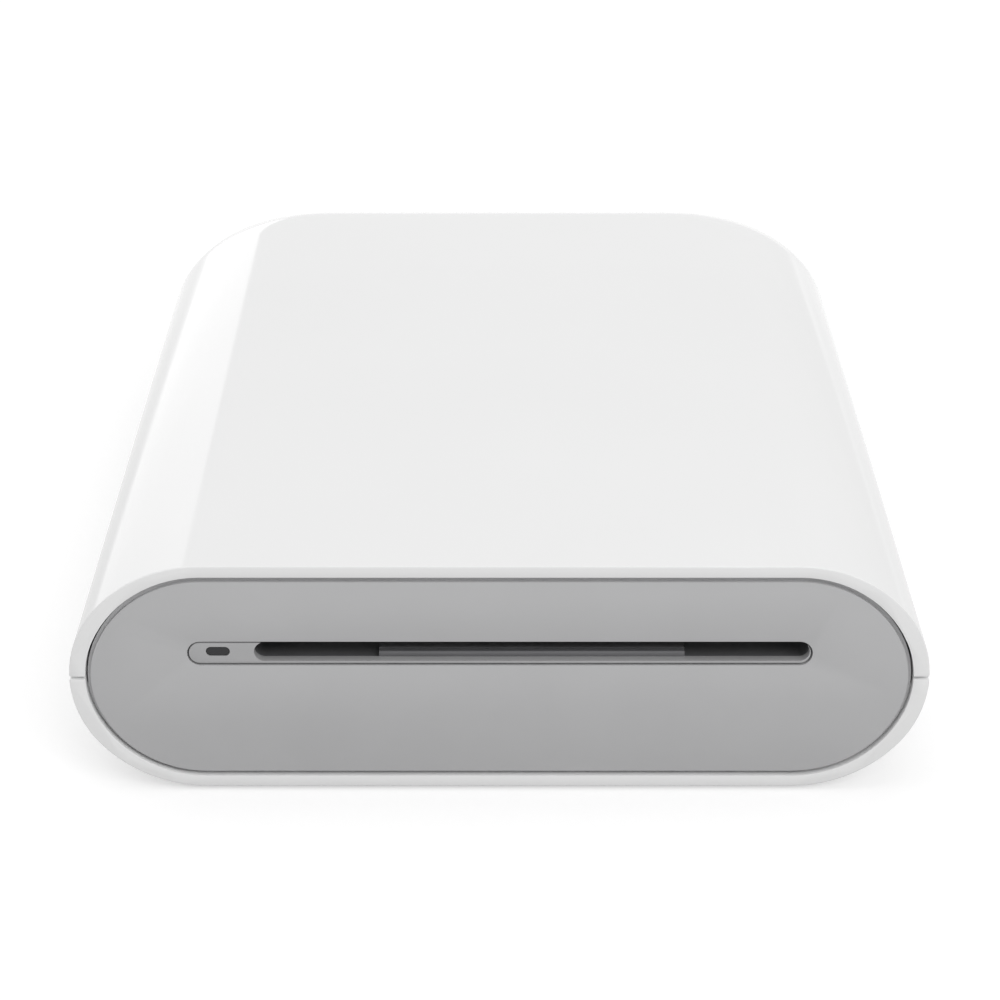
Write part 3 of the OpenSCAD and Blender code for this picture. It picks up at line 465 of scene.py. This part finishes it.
# %% Base: openings and recesses
BUTTON_X, BUTTON_W, BUTTON_H, BUTTON_ROOM = 12.0, 8.0, 2.8, 0.4
PORT_W, PORT_H, RESET_X, RESET_R = 8.0, 3.1, -10.0, 0.6
REAR_CUT, REAR_FACE, OPENINGS_REACH = (56, 63), 61.3, (18, 2.4)
FEET = [(x, y) for x in (-24.0, 24.0) for y in (-48.0, 40.0)]
FOOT_R, FOOT_TOP, FOOT_GAP = 3.5, 0.9, 0.01
BASE_PIN_HOLE, SCREW_R, SCREW_ABOVE, TRAY_SCREW, BOARD_SCREW = 0.76, 0.81, 5, 5.5, 5


def rear_opening(edge):
    a, b = (vertex.co / MM for vertex in edge.verts)
    near = abs(a.x) < OPENINGS_REACH[0] and abs(a.z - Z_MID) < OPENINGS_REACH[1]
    return sharp(edge, CREASE) and min(a.y, b.y) > REAR_FACE and near


combine(base, "DIFFERENCE", rod(-PIN_REACH, PIN_REACH, HINGE, BASE_PIN_HOLE),
        plate(pill(0, Z_MID, PORT_W, PORT_H), *REAR_CUT),
        plate(pill(BUTTON_X, Z_MID, BUTTON_W + BUTTON_ROOM, BUTTON_H + BUTTON_ROOM), *REAR_CUT),
        plate(ring_points(RESET_X, Z_MID, RESET_R), *REAR_CUT))
combine(base, "DIFFERENCE", *[post(x, y, -1, FOOT_TOP, FOOT_R + FOOT_GAP) for x, y in FEET])
for places, top, depth in ((TRAY_POSTS, TRAY_UNDER, TRAY_SCREW), (BOARD_POSTS, BOARD_UNDER, BOARD_SCREW)):
    holes = [post(x, y, top - depth, top + SCREW_ABOVE, SCREW_R, sides=24) for x, y in places]
    combine(base, "DIFFERENCE", *holes)
round_edges(base, by=0.12, test=rear_opening)
smooth(base)
print("base with its openings:", len(base.data.polygons), "faces")

# %% [markdown]
# The front panel is a flat plate in the rim, with a fine step all round that reads as a double line. A line
# in the material would miss the shadow. An inset of the front face, pulled a little forward, makes a true
# step of an even width.

# %% Front panel
PANEL_Y, PANEL_GAP, PANEL_STEP, PANEL_STEP_H = -61.9, 0.18, 0.33, 0.55
PANEL_HOLE, PANEL_CUT = (-30.74, 30.85, 13.87, 16.44), (-63, -59)
FRONT_DEPTH = 0.1


def front_edge(edge):
    return sharp(edge, CREASE) and max(vertex.co.y for vertex in edge.verts) / MM < PANEL_Y + FRONT_DEPTH


outline = whole_section(WALL_SIDE + PANEL_GAP, WALL_FACE + PANEL_GAP)
panel = plate(outline, PANEL_BACK, PANEL_Y + PANEL_STEP_H, name="panel_face")
with editing(panel, "FACE"):
    choose("faces", lambda face: face.normal.y < -0.9)
    bpy.ops.mesh.inset(thickness=PANEL_STEP * MM, depth=0)
    bpy.ops.mesh.extrude_region_move(TRANSFORM_OT_translate={"value": mm(0, -PANEL_STEP_H, 0)})
combine(panel, "DIFFERENCE", plate(oval(*PANEL_HOLE), *PANEL_CUT))
round_edges(panel, by=0.04, test=front_edge)
smooth(panel)
print("panel:", len(panel.data.polygons), "faces")

# %% [markdown]
# The slot is framed by a pill-shaped inlay: a thin face that fills the panel's opening and a flange behind
# it. The slot is a little too high for the face and runs out through its upper edge, as on the real one. The
# opening grows behind the face, so that the lower edge of the face reads as a strip of its own with darkness
# behind it. Each stage of the opening is cut by the slot's outline, made wider.

# %% Slot inlay
INLAY_FACE, INLAY_FLANGE = (-30.57, 30.66, 14.12, 16.3), (-32.14, 32.2, 12.55, 17.97)
SLOT_Z, SLOT_W, SLOT_H = 15.37, 54.7, 2.0
FLANGE_WEB, FLANGE_ROOM, GUIDE_SPIGOT = 0.4, 0.3, 1.4
INLAY_BACK = PANEL_BACK + 1.2
LENS_X, LENS_Z, LENS_W, LENS_H, LENS_ROOM, LENS_CUT = -27.705, 15.4, 2.3, 0.92, 0.06, (-63, -57)
OVERLAP, HAIR = 0.2, 0.01
# Where each stage of the opening begins and ends, and how much wider it is than the slot
OPENING_STAGES = (
    (-63, PANEL_BACK + 0.1, 0.0),
    (PANEL_BACK, -58, FLANGE_ROOM),
    (PANEL_BACK + FLANGE_WEB, -57.5, GUIDE_SPIGOT),
)


def slot_plate(y0, y1, wider=0.0, name="plate"):
    return plate(pill(PATH_X, SLOT_Z, SLOT_W + wider, SLOT_H + wider), y0, y1, name=name)


bezel = plate(oval(*INLAY_FACE), PANEL_Y, PANEL_BACK + OVERLAP, name="slot_bezel")
round_edges(bezel, by=0.05, test=front_edge)
combine(bezel, "UNION", plate(oval(*INLAY_FLANGE), PANEL_BACK + HAIR, INLAY_BACK))
combine(bezel, "DIFFERENCE", *[slot_plate(*stage) for stage in OPENING_STAGES],
        plate(pill(LENS_X, LENS_Z, LENS_W + LENS_ROOM, LENS_H + LENS_ROOM), *LENS_CUT))
smooth(bezel)
print("bezel:", len(bezel.data.polygons), "faces")

# %% [markdown]
# Behind the inlay a separate moulding guides the sheet from the nip to the slot. A broad low rib in the
# middle of its floor shows in the slot as a grey block with a groove across its top. The rib is made by
# itself, with its groove, and joined on by a root under the floor, so that its own edges stay crisp. The
# moulding's grey is set darker than the inlay's as painted shade, for the dimness inside the slot.

# %% Exit guide
FIT = 0.02
GUIDE_FRONT, GUIDE_BACK, GUIDE_ROOM, GUIDE_BODY = PANEL_BACK + FLANGE_WEB + FIT, -56.1, 0.5, 2.4
GUIDE_CUT = (-62, GUIDE_BACK + 1)
LEDGE_X, LEDGE_Y, LEDGE_DOWN = (-21.3, 27.7), (GUIDE_BACK - 0.5, -52.2), (0.8, 0.3)
SLOT_RIB_FRONT, SLOT_RIB_W, SLOT_RIB_H, SLOT_RIB_END = PANEL_BACK + FIT, 30.2, 0.55, 0.1
GROOVE_Y, GROOVE_DEPTH, ROOT_DOWN = (0.5, 1), 0.25, 0.35
SLOT_FLOOR = SLOT_Z - SLOT_H / 2

guide = slot_plate(INLAY_BACK, GUIDE_BACK, GUIDE_BODY, name="paper_guide")
ledge_low, ledge_high = ((LEDGE_X[i], LEDGE_Y[i], SLOT_FLOOR - LEDGE_DOWN[i]) for i in (0, 1))
combine(guide, "UNION", slot_plate(GUIDE_FRONT, INLAY_BACK + OVERLAP, GUIDE_SPIGOT - FIT),
        block(ledge_low, ledge_high, by=0.1))
combine(guide, "DIFFERENCE", slot_plate(*GUIDE_CUT, GUIDE_ROOM))
x0, x1 = PATH_X - SLOT_RIB_W / 2, PATH_X + SLOT_RIB_W / 2
y0, y1, rib_top = SLOT_RIB_FRONT, GUIDE_BACK - SLOT_RIB_END, SLOT_FLOOR + SLOT_RIB_H
rib = block((x0, y0, SLOT_FLOOR - FLANGE_ROOM / 2 + FIT), (x1, y1, rib_top), by=0.06)
groove_low = (x0 - 1, y0 + GROOVE_Y[0], rib_top - GROOVE_DEPTH)
combine(rib, "DIFFERENCE", block(groove_low, (x1 + 1, y0 + GROOVE_Y[1], SLOT_FLOOR + 1)))
root_low = (x0 + SLOT_RIB_END, GUIDE_FRONT + HAIR, SLOT_FLOOR - ROOT_DOWN)
root = block(root_low, (x1 - SLOT_RIB_END, y1, SLOT_FLOOR))
combine(guide, "UNION", root, rib)
smooth(guide)
print("exit guide:", len(guide.data.polygons), "faces")

# %% [markdown]
# The lamp window is a small dark lens at the left end of the inlay. It is a plate with a rounded edge, set a
# hair behind the inlay's face and with a little room round it, as a window that is pressed in has.

# %% Lamp window
LENS_Y, LENS_BACK = PANEL_Y + 0.06, -59.2
lens = plate(pill(LENS_X, LENS_Z, LENS_W, LENS_H), LENS_Y, LENS_BACK, name="lamp_window")
round_edges(lens, by=0.06, test=front_edge)
smooth(lens)
print("lamp window:", len(lens.data.polygons), "faces")

# %% [markdown]
# Four rubber pads stand in recesses of the floor. A disc alone would look like a sticker, so each pad gets a
# shallow dish, by two insets of its lower face, and a rounded edge. All four are made alike, by one function.

# %% Feet
FOOT_RIM, FOOT_SLOPE, FOOT_DISH, FOOT_LOW = 0.7, 0.15, 0.08, 0.1


def foot_edge(edge):
    return sharp(edge, 60) and max(vertex.co.z for vertex in edge.verts) < FOOT_LOW * MM


def foot(x, y):
    pad = post(x, y, 0, FOOT_TOP, FOOT_R, name="foot")
    with editing(pad, "FACE"):
        choose("faces", lambda face: face.normal.z < -0.9)
        bpy.ops.mesh.inset(thickness=FOOT_RIM * MM, depth=0)
        bpy.ops.mesh.inset(thickness=FOOT_SLOPE * MM, depth=-FOOT_DISH * MM)
    return round_edges(pad, by=0.2, test=foot_edge)


feet = smooth(joined("rubber_pads", *[foot(x, y) for x, y in FEET]), 40)
print("feet:", len(feet.data.polygons), "faces")

# %% [markdown]
# The power button is a pill like its opening, with a soft crown that a wide bevel of four steps gives it, and
# a flange behind the wall that keeps it in.

# %% Power button
BUTTON_FACE, BUTTON_BACK, BUTTON_FLANGE, FLANGE_T, CROWN_DEPTH = 61.85, 59.2, 2, 0.8, 0.1


def crown_edge(edge):
    return sharp(edge, 60) and min(vertex.co.y for vertex in edge.verts) > (BUTTON_FACE - CROWN_DEPTH) * MM


button = plate(pill(BUTTON_X, Z_MID, BUTTON_W, BUTTON_H), BUTTON_BACK, BUTTON_FACE, name="button_cap")
round_edges(button, by=0.35, test=crown_edge, segments=4)
flange = pill(BUTTON_X, Z_MID, BUTTON_W + BUTTON_FLANGE, BUTTON_H + BUTTON_FLANGE)
combine(button, "UNION", plate(flange, BUTTON_BACK - HAIR, BUTTON_BACK + FLANGE_T))
smooth(button)
print("button:", len(button.data.polygons), "faces")

# %% [markdown]
# Two pairs of compression springs work inside: one presses the print head down, the other the press plate. A
# ring the size of the wire is swept round the axis with the Screw modifier, which is a coil in one step. It
# runs half a turn too long at each end, and both ends are then cut level, as a real spring's are ground.

# %% Springs
WIRE_SIDES, COIL_STEPS = 10, 28
HEAD_SPRING_X, HEAD_SPRING_Y, HEAD_SPRING_Z = 13, -48.0, (19.0, 20.6)
PRESS_SPRING_X, PRESS_SPRING_Y, PRESS_SPRING_Z = 9, -12.0, (18.25, 23.5)


def spring(x, y, z0, z1, r, wire, turns):
    pitch = (z1 - z0) / turns
    start = mm(r - wire / 2, 0, z0 - pitch / 2)
    bpy.ops.mesh.primitive_circle_add(
        vertices=WIRE_SIDES, radius=wire / 2 * MM, location=start, rotation=(math.pi / 2, 0, 0))
    obj = settle("spring")
    apply(obj, "SCREW", angle=2 * math.pi, iterations=turns + 1, steps=COIL_STEPS, render_steps=COIL_STEPS,
          screw_offset=pitch * MM, use_merge_vertices=False, use_normal_calculate=True)
    with editing(obj):
        for height, outward in ((z0, -1), (z1, 1)):
            bpy.ops.mesh.select_all(action="SELECT")
            bpy.ops.mesh.bisect(plane_co=mm(0, 0, height), plane_no=(0, 0, outward), use_fill=True,
                                clear_outer=True, threshold=TINY / 10)
        face_outwards()
    obj.location = mm(x, y, 0)
    return smooth(settle("spring"), 50)


def pair_of_springs(name, reach, y, heights, **shape):
    return joined(name, *[spring(PATH_X + side * reach, y, *heights, **shape) for side in (-1, 1)])


head_coils = pair_of_springs(
    "head_coils", HEAD_SPRING_X, HEAD_SPRING_Y, HEAD_SPRING_Z, r=1.8, wire=0.3, turns=3)
press_coils = pair_of_springs(
    "press_coils", PRESS_SPRING_X, PRESS_SPRING_Y, PRESS_SPRING_Z, r=2.2, wire=0.4, turns=5)
print("springs:", len(head_coils.data.polygons) + len(press_coils.data.polygons), "faces")

# %% [markdown]
# A finish is never one flat colour. Each one here has a slow drift of tone, a slow drift of gloss, and a fine
# relief at its true scale, all from noise on Object coordinates in metres, so that it stays put on the piece.
# One function builds them all, and each finish says only what is its own.

# %% Finishes: the common recipe
def linear(value):
    """A shown level of 0 to 255 as a linear one of 0 to 1, by the sRGB curve."""
    value /= 255
    return value / 12.92 if value <= 0.04045 else ((value + 0.055) / 1.055) ** 2.4


def noise(tree, size, detail=2.0, stretch=(1, 1, 1)):
    """Noise with lumps of about size millimetres, longer along an axis whose stretch is under 1."""
    where = tree.nodes.new("ShaderNodeTexCoord")
    mapping = tree.nodes.new("ShaderNodeMapping")
    mapping.inputs["Scale"].default_value = stretch
    texture = tree.nodes.new("ShaderNodeTexNoise")
    texture.inputs["Scale"].default_value = 1 / (size * MM)
    texture.inputs["Detail"].default_value = detail
    tree.links.new(where.outputs["Object"], mapping.inputs["Vector"])
    tree.links.new(mapping.outputs["Vector"], texture.inputs["Vector"])
    return texture.outputs["Fac"]


# Noise runs from 0 to 1 but seldom leaves this middle part, which is spread out to the full range
NOISE_LOW, NOISE_HIGH, SMOOTHEST = 0.3, 0.7, 0.02


def drift(tree, factor, low, high):
    """Turns noise into a number that wanders between low and high."""
    span = tree.nodes.new("ShaderNodeMapRange")
    limits = {"From Min": NOISE_LOW, "From Max": NOISE_HIGH, "To Min": low, "To Max": high}
    for socket, value in limits.items():
        span.inputs[socket].default_value = value
    tree.links.new(factor, span.inputs["Value"])
    return span.outputs["Result"]


def finish(name, tone, gloss, tint=0.03, tint_size=12, smear=0.04, smear_size=6, grain=0.2, relief=0.002,
           stretch=(1, 1, 1), **sockets):
    """tone is 0-255 RGB, gloss the roughness, grain the size and relief the height of the surface in mm."""
    material = bpy.data.materials.new(name)
    material.use_nodes = True
    tree = material.node_tree
    shader = tree.nodes["Principled BSDF"]
    for socket, value in sockets.items():
        shader.inputs[socket.replace("_", " ").title().replace("Ior", "IOR")].default_value = value

    mix = tree.nodes.new("ShaderNodeMix")
    mix.data_type = "RGBA"
    middle = [linear(level) for level in tone]
    mix.inputs["A"].default_value = [level * (1 - tint) for level in middle] + [1]
    mix.inputs["B"].default_value = [min(1, level * (1 + tint)) for level in middle] + [1]
    tree.links.new(drift(tree, noise(tree, tint_size), 0, 1), mix.inputs["Factor"])
    tree.links.new(mix.outputs["Result"], shader.inputs["Base Color"])

    roughness = drift(tree, noise(tree, smear_size, 4), max(SMOOTHEST, gloss - smear), gloss + smear)
    tree.links.new(roughness, shader.inputs["Roughness"])

    bump = tree.nodes.new("ShaderNodeBump")
    bump.inputs["Strength"].default_value = 1.0
    bump.inputs["Distance"].default_value = relief * MM
    tree.links.new(noise(tree, grain, 3, stretch), bump.inputs["Height"])
    tree.links.new(bump.outputs["Normal"], shader.inputs["Normal"])
    return material


print("recipe ready")

# %% [markdown]
# The white shell is a high-gloss moulding with the faint waviness that paint and polish leave. The panel and
# the inlay are satin, with a fine spark texture. The lamp window is smoked and smooth, and the feet are matt.

# %% Finishes of the outside
FINISHES = {
    "white_shell": finish(
        "gloss_white", (236, 236, 236), 0.1, tint=0.006, tint_size=30, smear=0.025, smear_size=9,
        grain=2.2, relief=0.0005, specular_ior_level=0.5),
    "grey_panel": finish(
        "satin_grey", (184, 184, 185), 0.42, tint=0.012, tint_size=8, smear=0.04, grain=0.12, relief=0.0016),
    "grey_inlay": finish(
        "satin_grey_inlay", (172, 172, 173), 0.36, tint=0.012, tint_size=5, smear=0.04, grain=0.1,
        relief=0.0012),
    # The guide's grey is darker than the inlay's as painted shade of the inside of the slot
    "guide_plastic": finish(
        "guide_grey_painted_shade", (108, 108, 110), 0.4, tint=0.02, tint_size=5, smear=0.05, grain=0.1, relief=0.002),
    "lamp_window": finish(
        "smoked_window", (42, 42, 44), 0.2, tint=0.05, tint_size=0.8, smear=0.03, grain=0.3, relief=0.0006,
        specular_ior_level=0.35),
    "foot_rubber": finish(
        "pale_rubber", (186, 186, 184), 0.72, tint=0.04, tint_size=2, smear=0.06, grain=0.09, relief=0.006),
}
print(len(FINISHES), "finishes of the outside")

# %% [markdown]
# Inside, each part shows how it was made: fine lines round a turned pin, the spangle of zinc-plated sheet,
# the milky look of acetal gears, the ground face of a rubber roller. A stretch of the noise makes the lines,
# which then run round a turned piece or along an extruded one.

# %% Finishes of the mechanism
FINISHES.update({
    "bright_steel": finish(
        "drawn_steel", (214, 214, 216), 0.22, tint=0.05, tint_size=1.5, smear=0.07, smear_size=2, grain=0.25,
        relief=0.0012, stretch=(6, 1, 1), metallic=1.0),
    "sheet_steel": finish(
        "zinc_sheet", (196, 198, 202), 0.36, tint=0.05, tint_size=1.2, smear=0.07, smear_size=1.6, grain=0.4,
        relief=0.002, metallic=1.0),
    "motor_steel": finish(
        "plated_can", (188, 188, 190), 0.28, tint=0.05, tint_size=2, smear=0.06, smear_size=2, grain=0.3,
        relief=0.0014, metallic=1.0),
    "dark_moulding": finish(
        "black_texture", (52, 52, 54), 0.5, tint=0.08, tint_size=6, smear=0.05, grain=0.14, relief=0.006),
    "gear_plastic": finish(
        "milky_acetal", (226, 221, 204), 0.34, tint=0.03, tint_size=2, smear=0.05, grain=0.3, relief=0.0015,
        subsurface_weight=0.15, subsurface_scale=0.0006),
    "brass": finish(
        "turned_brass", (212, 176, 104), 0.26, tint=0.06, tint_size=1.5, smear=0.06, smear_size=1.5,
        grain=0.2, relief=0.0015, stretch=(6, 1, 1), metallic=1.0),
    "roller_rubber": finish(
        "ground_rubber", (38, 38, 39), 0.66, tint=0.12, tint_size=2, smear=0.06, grain=0.16, relief=0.006,
        stretch=(3, 1, 1)),
    "head_ceramic": finish(
        "fired_ceramic", (232, 231, 222), 0.3, tint=0.03, tint_size=3, smear=0.06, grain=0.12, relief=0.0012),
    "sink_aluminium": finish(
        "extruded_aluminium", (206, 208, 212), 0.34, tint=0.06, tint_size=4, smear=0.08, grain=0.22,
        relief=0.002, stretch=(0.05, 1, 1), metallic=1.0),
    "felt": finish(
        "pressed_felt", (58, 58, 62), 0.92, tint=0.25, tint_size=0.5, smear=0.04, grain=0.12, relief=0.03),
    "black_parts": finish(
        "component_black", (34, 34, 37), 0.42, tint=0.1, tint_size=2, smear=0.08, grain=0.1, relief=0.002),
    "plunger_plastic": finish(
        "plunger_plastic", (218, 216, 206), 0.4, tint=0.03, tint_size=1, grain=0.2, relief=0.001),
    "board": finish(
        "solder_mask", (22, 84, 52), 0.3, tint=0.18, tint_size=1.1, smear=0.08, smear_size=1.5, grain=0.5,
        relief=0.004, coat_weight=0.3, coat_roughness=0.15),
    "cell_foil": finish(
        "cell_foil", (196, 197, 200), 0.34, tint=0.05, tint_size=6, smear=0.1, smear_size=4, grain=3.2,
        relief=0.05, metallic=0.9),
})
print(len(FINISHES), "finishes in all")

# %% [markdown]
# Every new piece is given its finish, the body it rides on and the CAD nodes it stands for, which are
# hidden. The head springs ride on the base and the press springs on the cover, and each pair gets a mesh of
# its own.

# %% Place the new pieces
replaced = set()


def place(obj, slot, body, *stands_for):
    obj.data.materials.clear()
    obj.data.materials.append(FINISHES[slot])
    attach(obj, body)
    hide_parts(*stands_for)
    replaced.update(stands_for)


place(cover, "white_shell", "cover", "top_cover")
place(base, "white_shell", "base", "base_shell")
place(panel, "grey_panel", "base", "front_panel")
place(bezel, "grey_inlay", "base", "slot_inlay")
# The guide's finish carries painted shade of the slot's inside in its darker grey
place(guide, "guide_plastic", "base", "exit_guide")
place(lens, "lamp_window", "base", "status_lens")
place(feet, "foot_rubber", "base", "rubber_feet")
place(button, "white_shell", "button", "power_button")
place(head_coils, "bright_steel", "base", "head_springs")
place(press_coils, "bright_steel", "cover", "press_springs")
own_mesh(head_coils)
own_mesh(press_coils)
print(len(replaced), "CAD nodes have a new piece in their place")

# %% [markdown]
# The CAD nodes that stay keep their shape, and get the same kinds of finish. A weld joins their loose
# triangles, a planar decimate makes whole faces of them again, and a fine bevel with evened normals takes the
# hardness off the edges. All four are modifiers, so the CAD mesh itself is left alone.

# %% Dress the CAD nodes
SLOT_OF = {part["node"]: part["material_slot"] for part in frame["record"]["subparts"]}
NODE_EDGE, LEVEL, NODE_CREASE = 0.06, math.radians(0.5), math.radians(38)


def dress(node):
    obj = nodes[node]
    obj.data.materials.clear()
    obj.data.materials.append(FINISHES[SLOT_OF[node]])
    weld = obj.modifiers.new("weld", "WELD")
    weld.merge_threshold = TINY
    flat = obj.modifiers.new("flat", "DECIMATE")
    flat.decimate_type = "DISSOLVE"
    flat.angle_limit = LEVEL
    bevel = obj.modifiers.new("bevel", "BEVEL")
    bevel.width = NODE_EDGE * MM
    bevel.segments = 2
    bevel.limit_method = "ANGLE"
    bevel.angle_limit = NODE_CREASE
    even = obj.modifiers.new("even", "WEIGHTED_NORMAL")
    even.keep_sharp = True


for node in sorted(set(nodes) - replaced):
    dress(node)
print(len(nodes) - len(replaced), "CAD nodes dressed")

# %% [markdown]
# The studio is a white sweep: a pale floor under an even sky. White floors tempt one to turn the lamps up
# until the floor clips, which also bleaches the object. Here the floor and the sky show white only to the
# camera and in reflections, and light the object at the plain level at which a colour shows as it is written.
# The floor's glow rises away from the object, so that it keeps a shadow near it and is white farther off.

# %% Floor and sky
FLOOR_SIZE, FLOOR_TONE, SKY_LIGHT = 3, 0.62, 0.62
GLOW_NEAR, GLOW_FAR, NEAR_LIFT, FAR_LIFT = 0.16, 0.7, 0.48, 0.72


def seen_directly(tree):
    """1 for rays that the camera, a reflection or glass sends out, and 0 for those that carry light."""
    path = tree.nodes.new("ShaderNodeLightPath")
    total = path.outputs["Is Camera Ray"]
    for kind in ("Is Glossy Ray", "Is Transmission Ray"):
        most = tree.nodes.new("ShaderNodeMath")
        most.operation = "MAXIMUM"
        tree.links.new(total, most.inputs[0])
        tree.links.new(path.outputs[kind], most.inputs[1])
        total = most.outputs[0]
    return total


bpy.ops.mesh.primitive_plane_add(size=FLOOR_SIZE)
floor = settle("floor")
floor_finish = bpy.data.materials.new("floor_white")
floor_finish.use_nodes = True
tree = floor_finish.node_tree
shader = tree.nodes["Principled BSDF"]
shader.inputs["Base Color"].default_value = (FLOOR_TONE, FLOOR_TONE, FLOOR_TONE, 1)
shader.inputs["Roughness"].default_value = 0.9
shader.inputs["Specular IOR Level"].default_value = 0.0
shader.inputs["Emission Color"].default_value = (1, 1, 1, 1)

from_middle = tree.nodes.new("ShaderNodeTexCoord")
distance = tree.nodes.new("ShaderNodeVectorMath")
distance.operation = "LENGTH"
lift = tree.nodes.new("ShaderNodeMapRange")
lift.interpolation_type = "SMOOTHSTEP"
limits = {"From Min": GLOW_NEAR, "From Max": GLOW_FAR, "To Min": NEAR_LIFT, "To Max": FAR_LIFT}
for socket, value in limits.items():
    lift.inputs[socket].default_value = value
glow = tree.nodes.new("ShaderNodeMath")
glow.operation = "MULTIPLY"
tree.links.new(from_middle.outputs["Object"], distance.inputs[0])
tree.links.new(distance.outputs["Value"], lift.inputs["Value"])
tree.links.new(seen_directly(tree), glow.inputs[0])
tree.links.new(lift.outputs["Result"], glow.inputs[1])
tree.links.new(glow.outputs[0], shader.inputs["Emission Strength"])
floor.data.materials.append(floor_finish)

world = bpy.data.worlds.new("white_sky")
world.use_nodes = True
bpy.context.scene.world = world
tree = world.node_tree
background = tree.nodes["Background"]
background.inputs["Color"].default_value = (1, 1, 1, 1)
# 0 and 1 lie past both ends of what drift spreads out, so they give its two levels and nothing between
tree.links.new(drift(tree, seen_directly(tree), SKY_LIGHT, 1.0), background.inputs["Strength"])
print("floor and sky ready")

# %% [markdown]
# Three soft lamps do the rest. A broad one overhead lights the top, a smaller one at the front right lights
# the panel and the rim, and a tall one behind to the left is there for its reflection, the light band that
# runs down the left shoulder. It is rolled about its own axis, which sets the slope of that band.

# %% Lamps
MIDDLE = (0, 0, 0.012)


def soft_lamp(name, at, wide, high, power, roll=0):
    """A lamp that faces the object and isn't seen itself. Its place and size are in metres."""
    data = bpy.data.lights.new(name, "AREA")
    data.shape = "RECTANGLE"
    data.size = wide
    data.size_y = high
    data.energy = power
    lamp = bpy.data.objects.new(name, data)
    bpy.context.scene.collection.objects.link(lamp)
    lamp.location = at
    lamp.rotation_euler = (Vector(MIDDLE) - Vector(at)).to_track_quat("-Z", "Y").to_euler()
    lamp.rotation_euler.rotate_axis("Z", math.radians(roll))
    lamp.visible_camera = False


soft_lamp("overhead", at=(-0.1, 0.05, 0.9), wide=0.9, high=0.9, power=1.75)
soft_lamp("front_right", at=(0.4, -0.75, 0.62), wide=0.7, high=0.4, power=3.2)
soft_lamp("left_shoulder", at=(-0.46, 0.75, 0.3), wide=0.6, high=0.75, power=1.08, roll=-24)
print("lamps ready")

# %% [markdown]
# The camera stands where the photograph was taken from: straight in front, looking down by 23 degrees through
# a long lens, which was found by fitting the front face and the rear edge of the case.

# %% Camera
CAMERA_AT, CAMERA_TILT, CAMERA_LENS = (0.00006, -0.32449, 0.14421), 66.79, 106.87

camera_data = bpy.data.cameras.new("camera")
camera_data.sensor_width = 36
camera_data.lens = CAMERA_LENS
camera = bpy.data.objects.new("camera", camera_data)
bpy.context.scene.collection.objects.link(camera)
camera.location = CAMERA_AT
camera.rotation_euler = (math.radians(CAMERA_TILT), 0, 0)
bpy.context.scene.camera = camera
bpy.context.scene.view_settings.view_transform = "Standard"
print("camera", round((camera.location - Vector(MIDDLE)).length, 3), "m from the middle of the case")
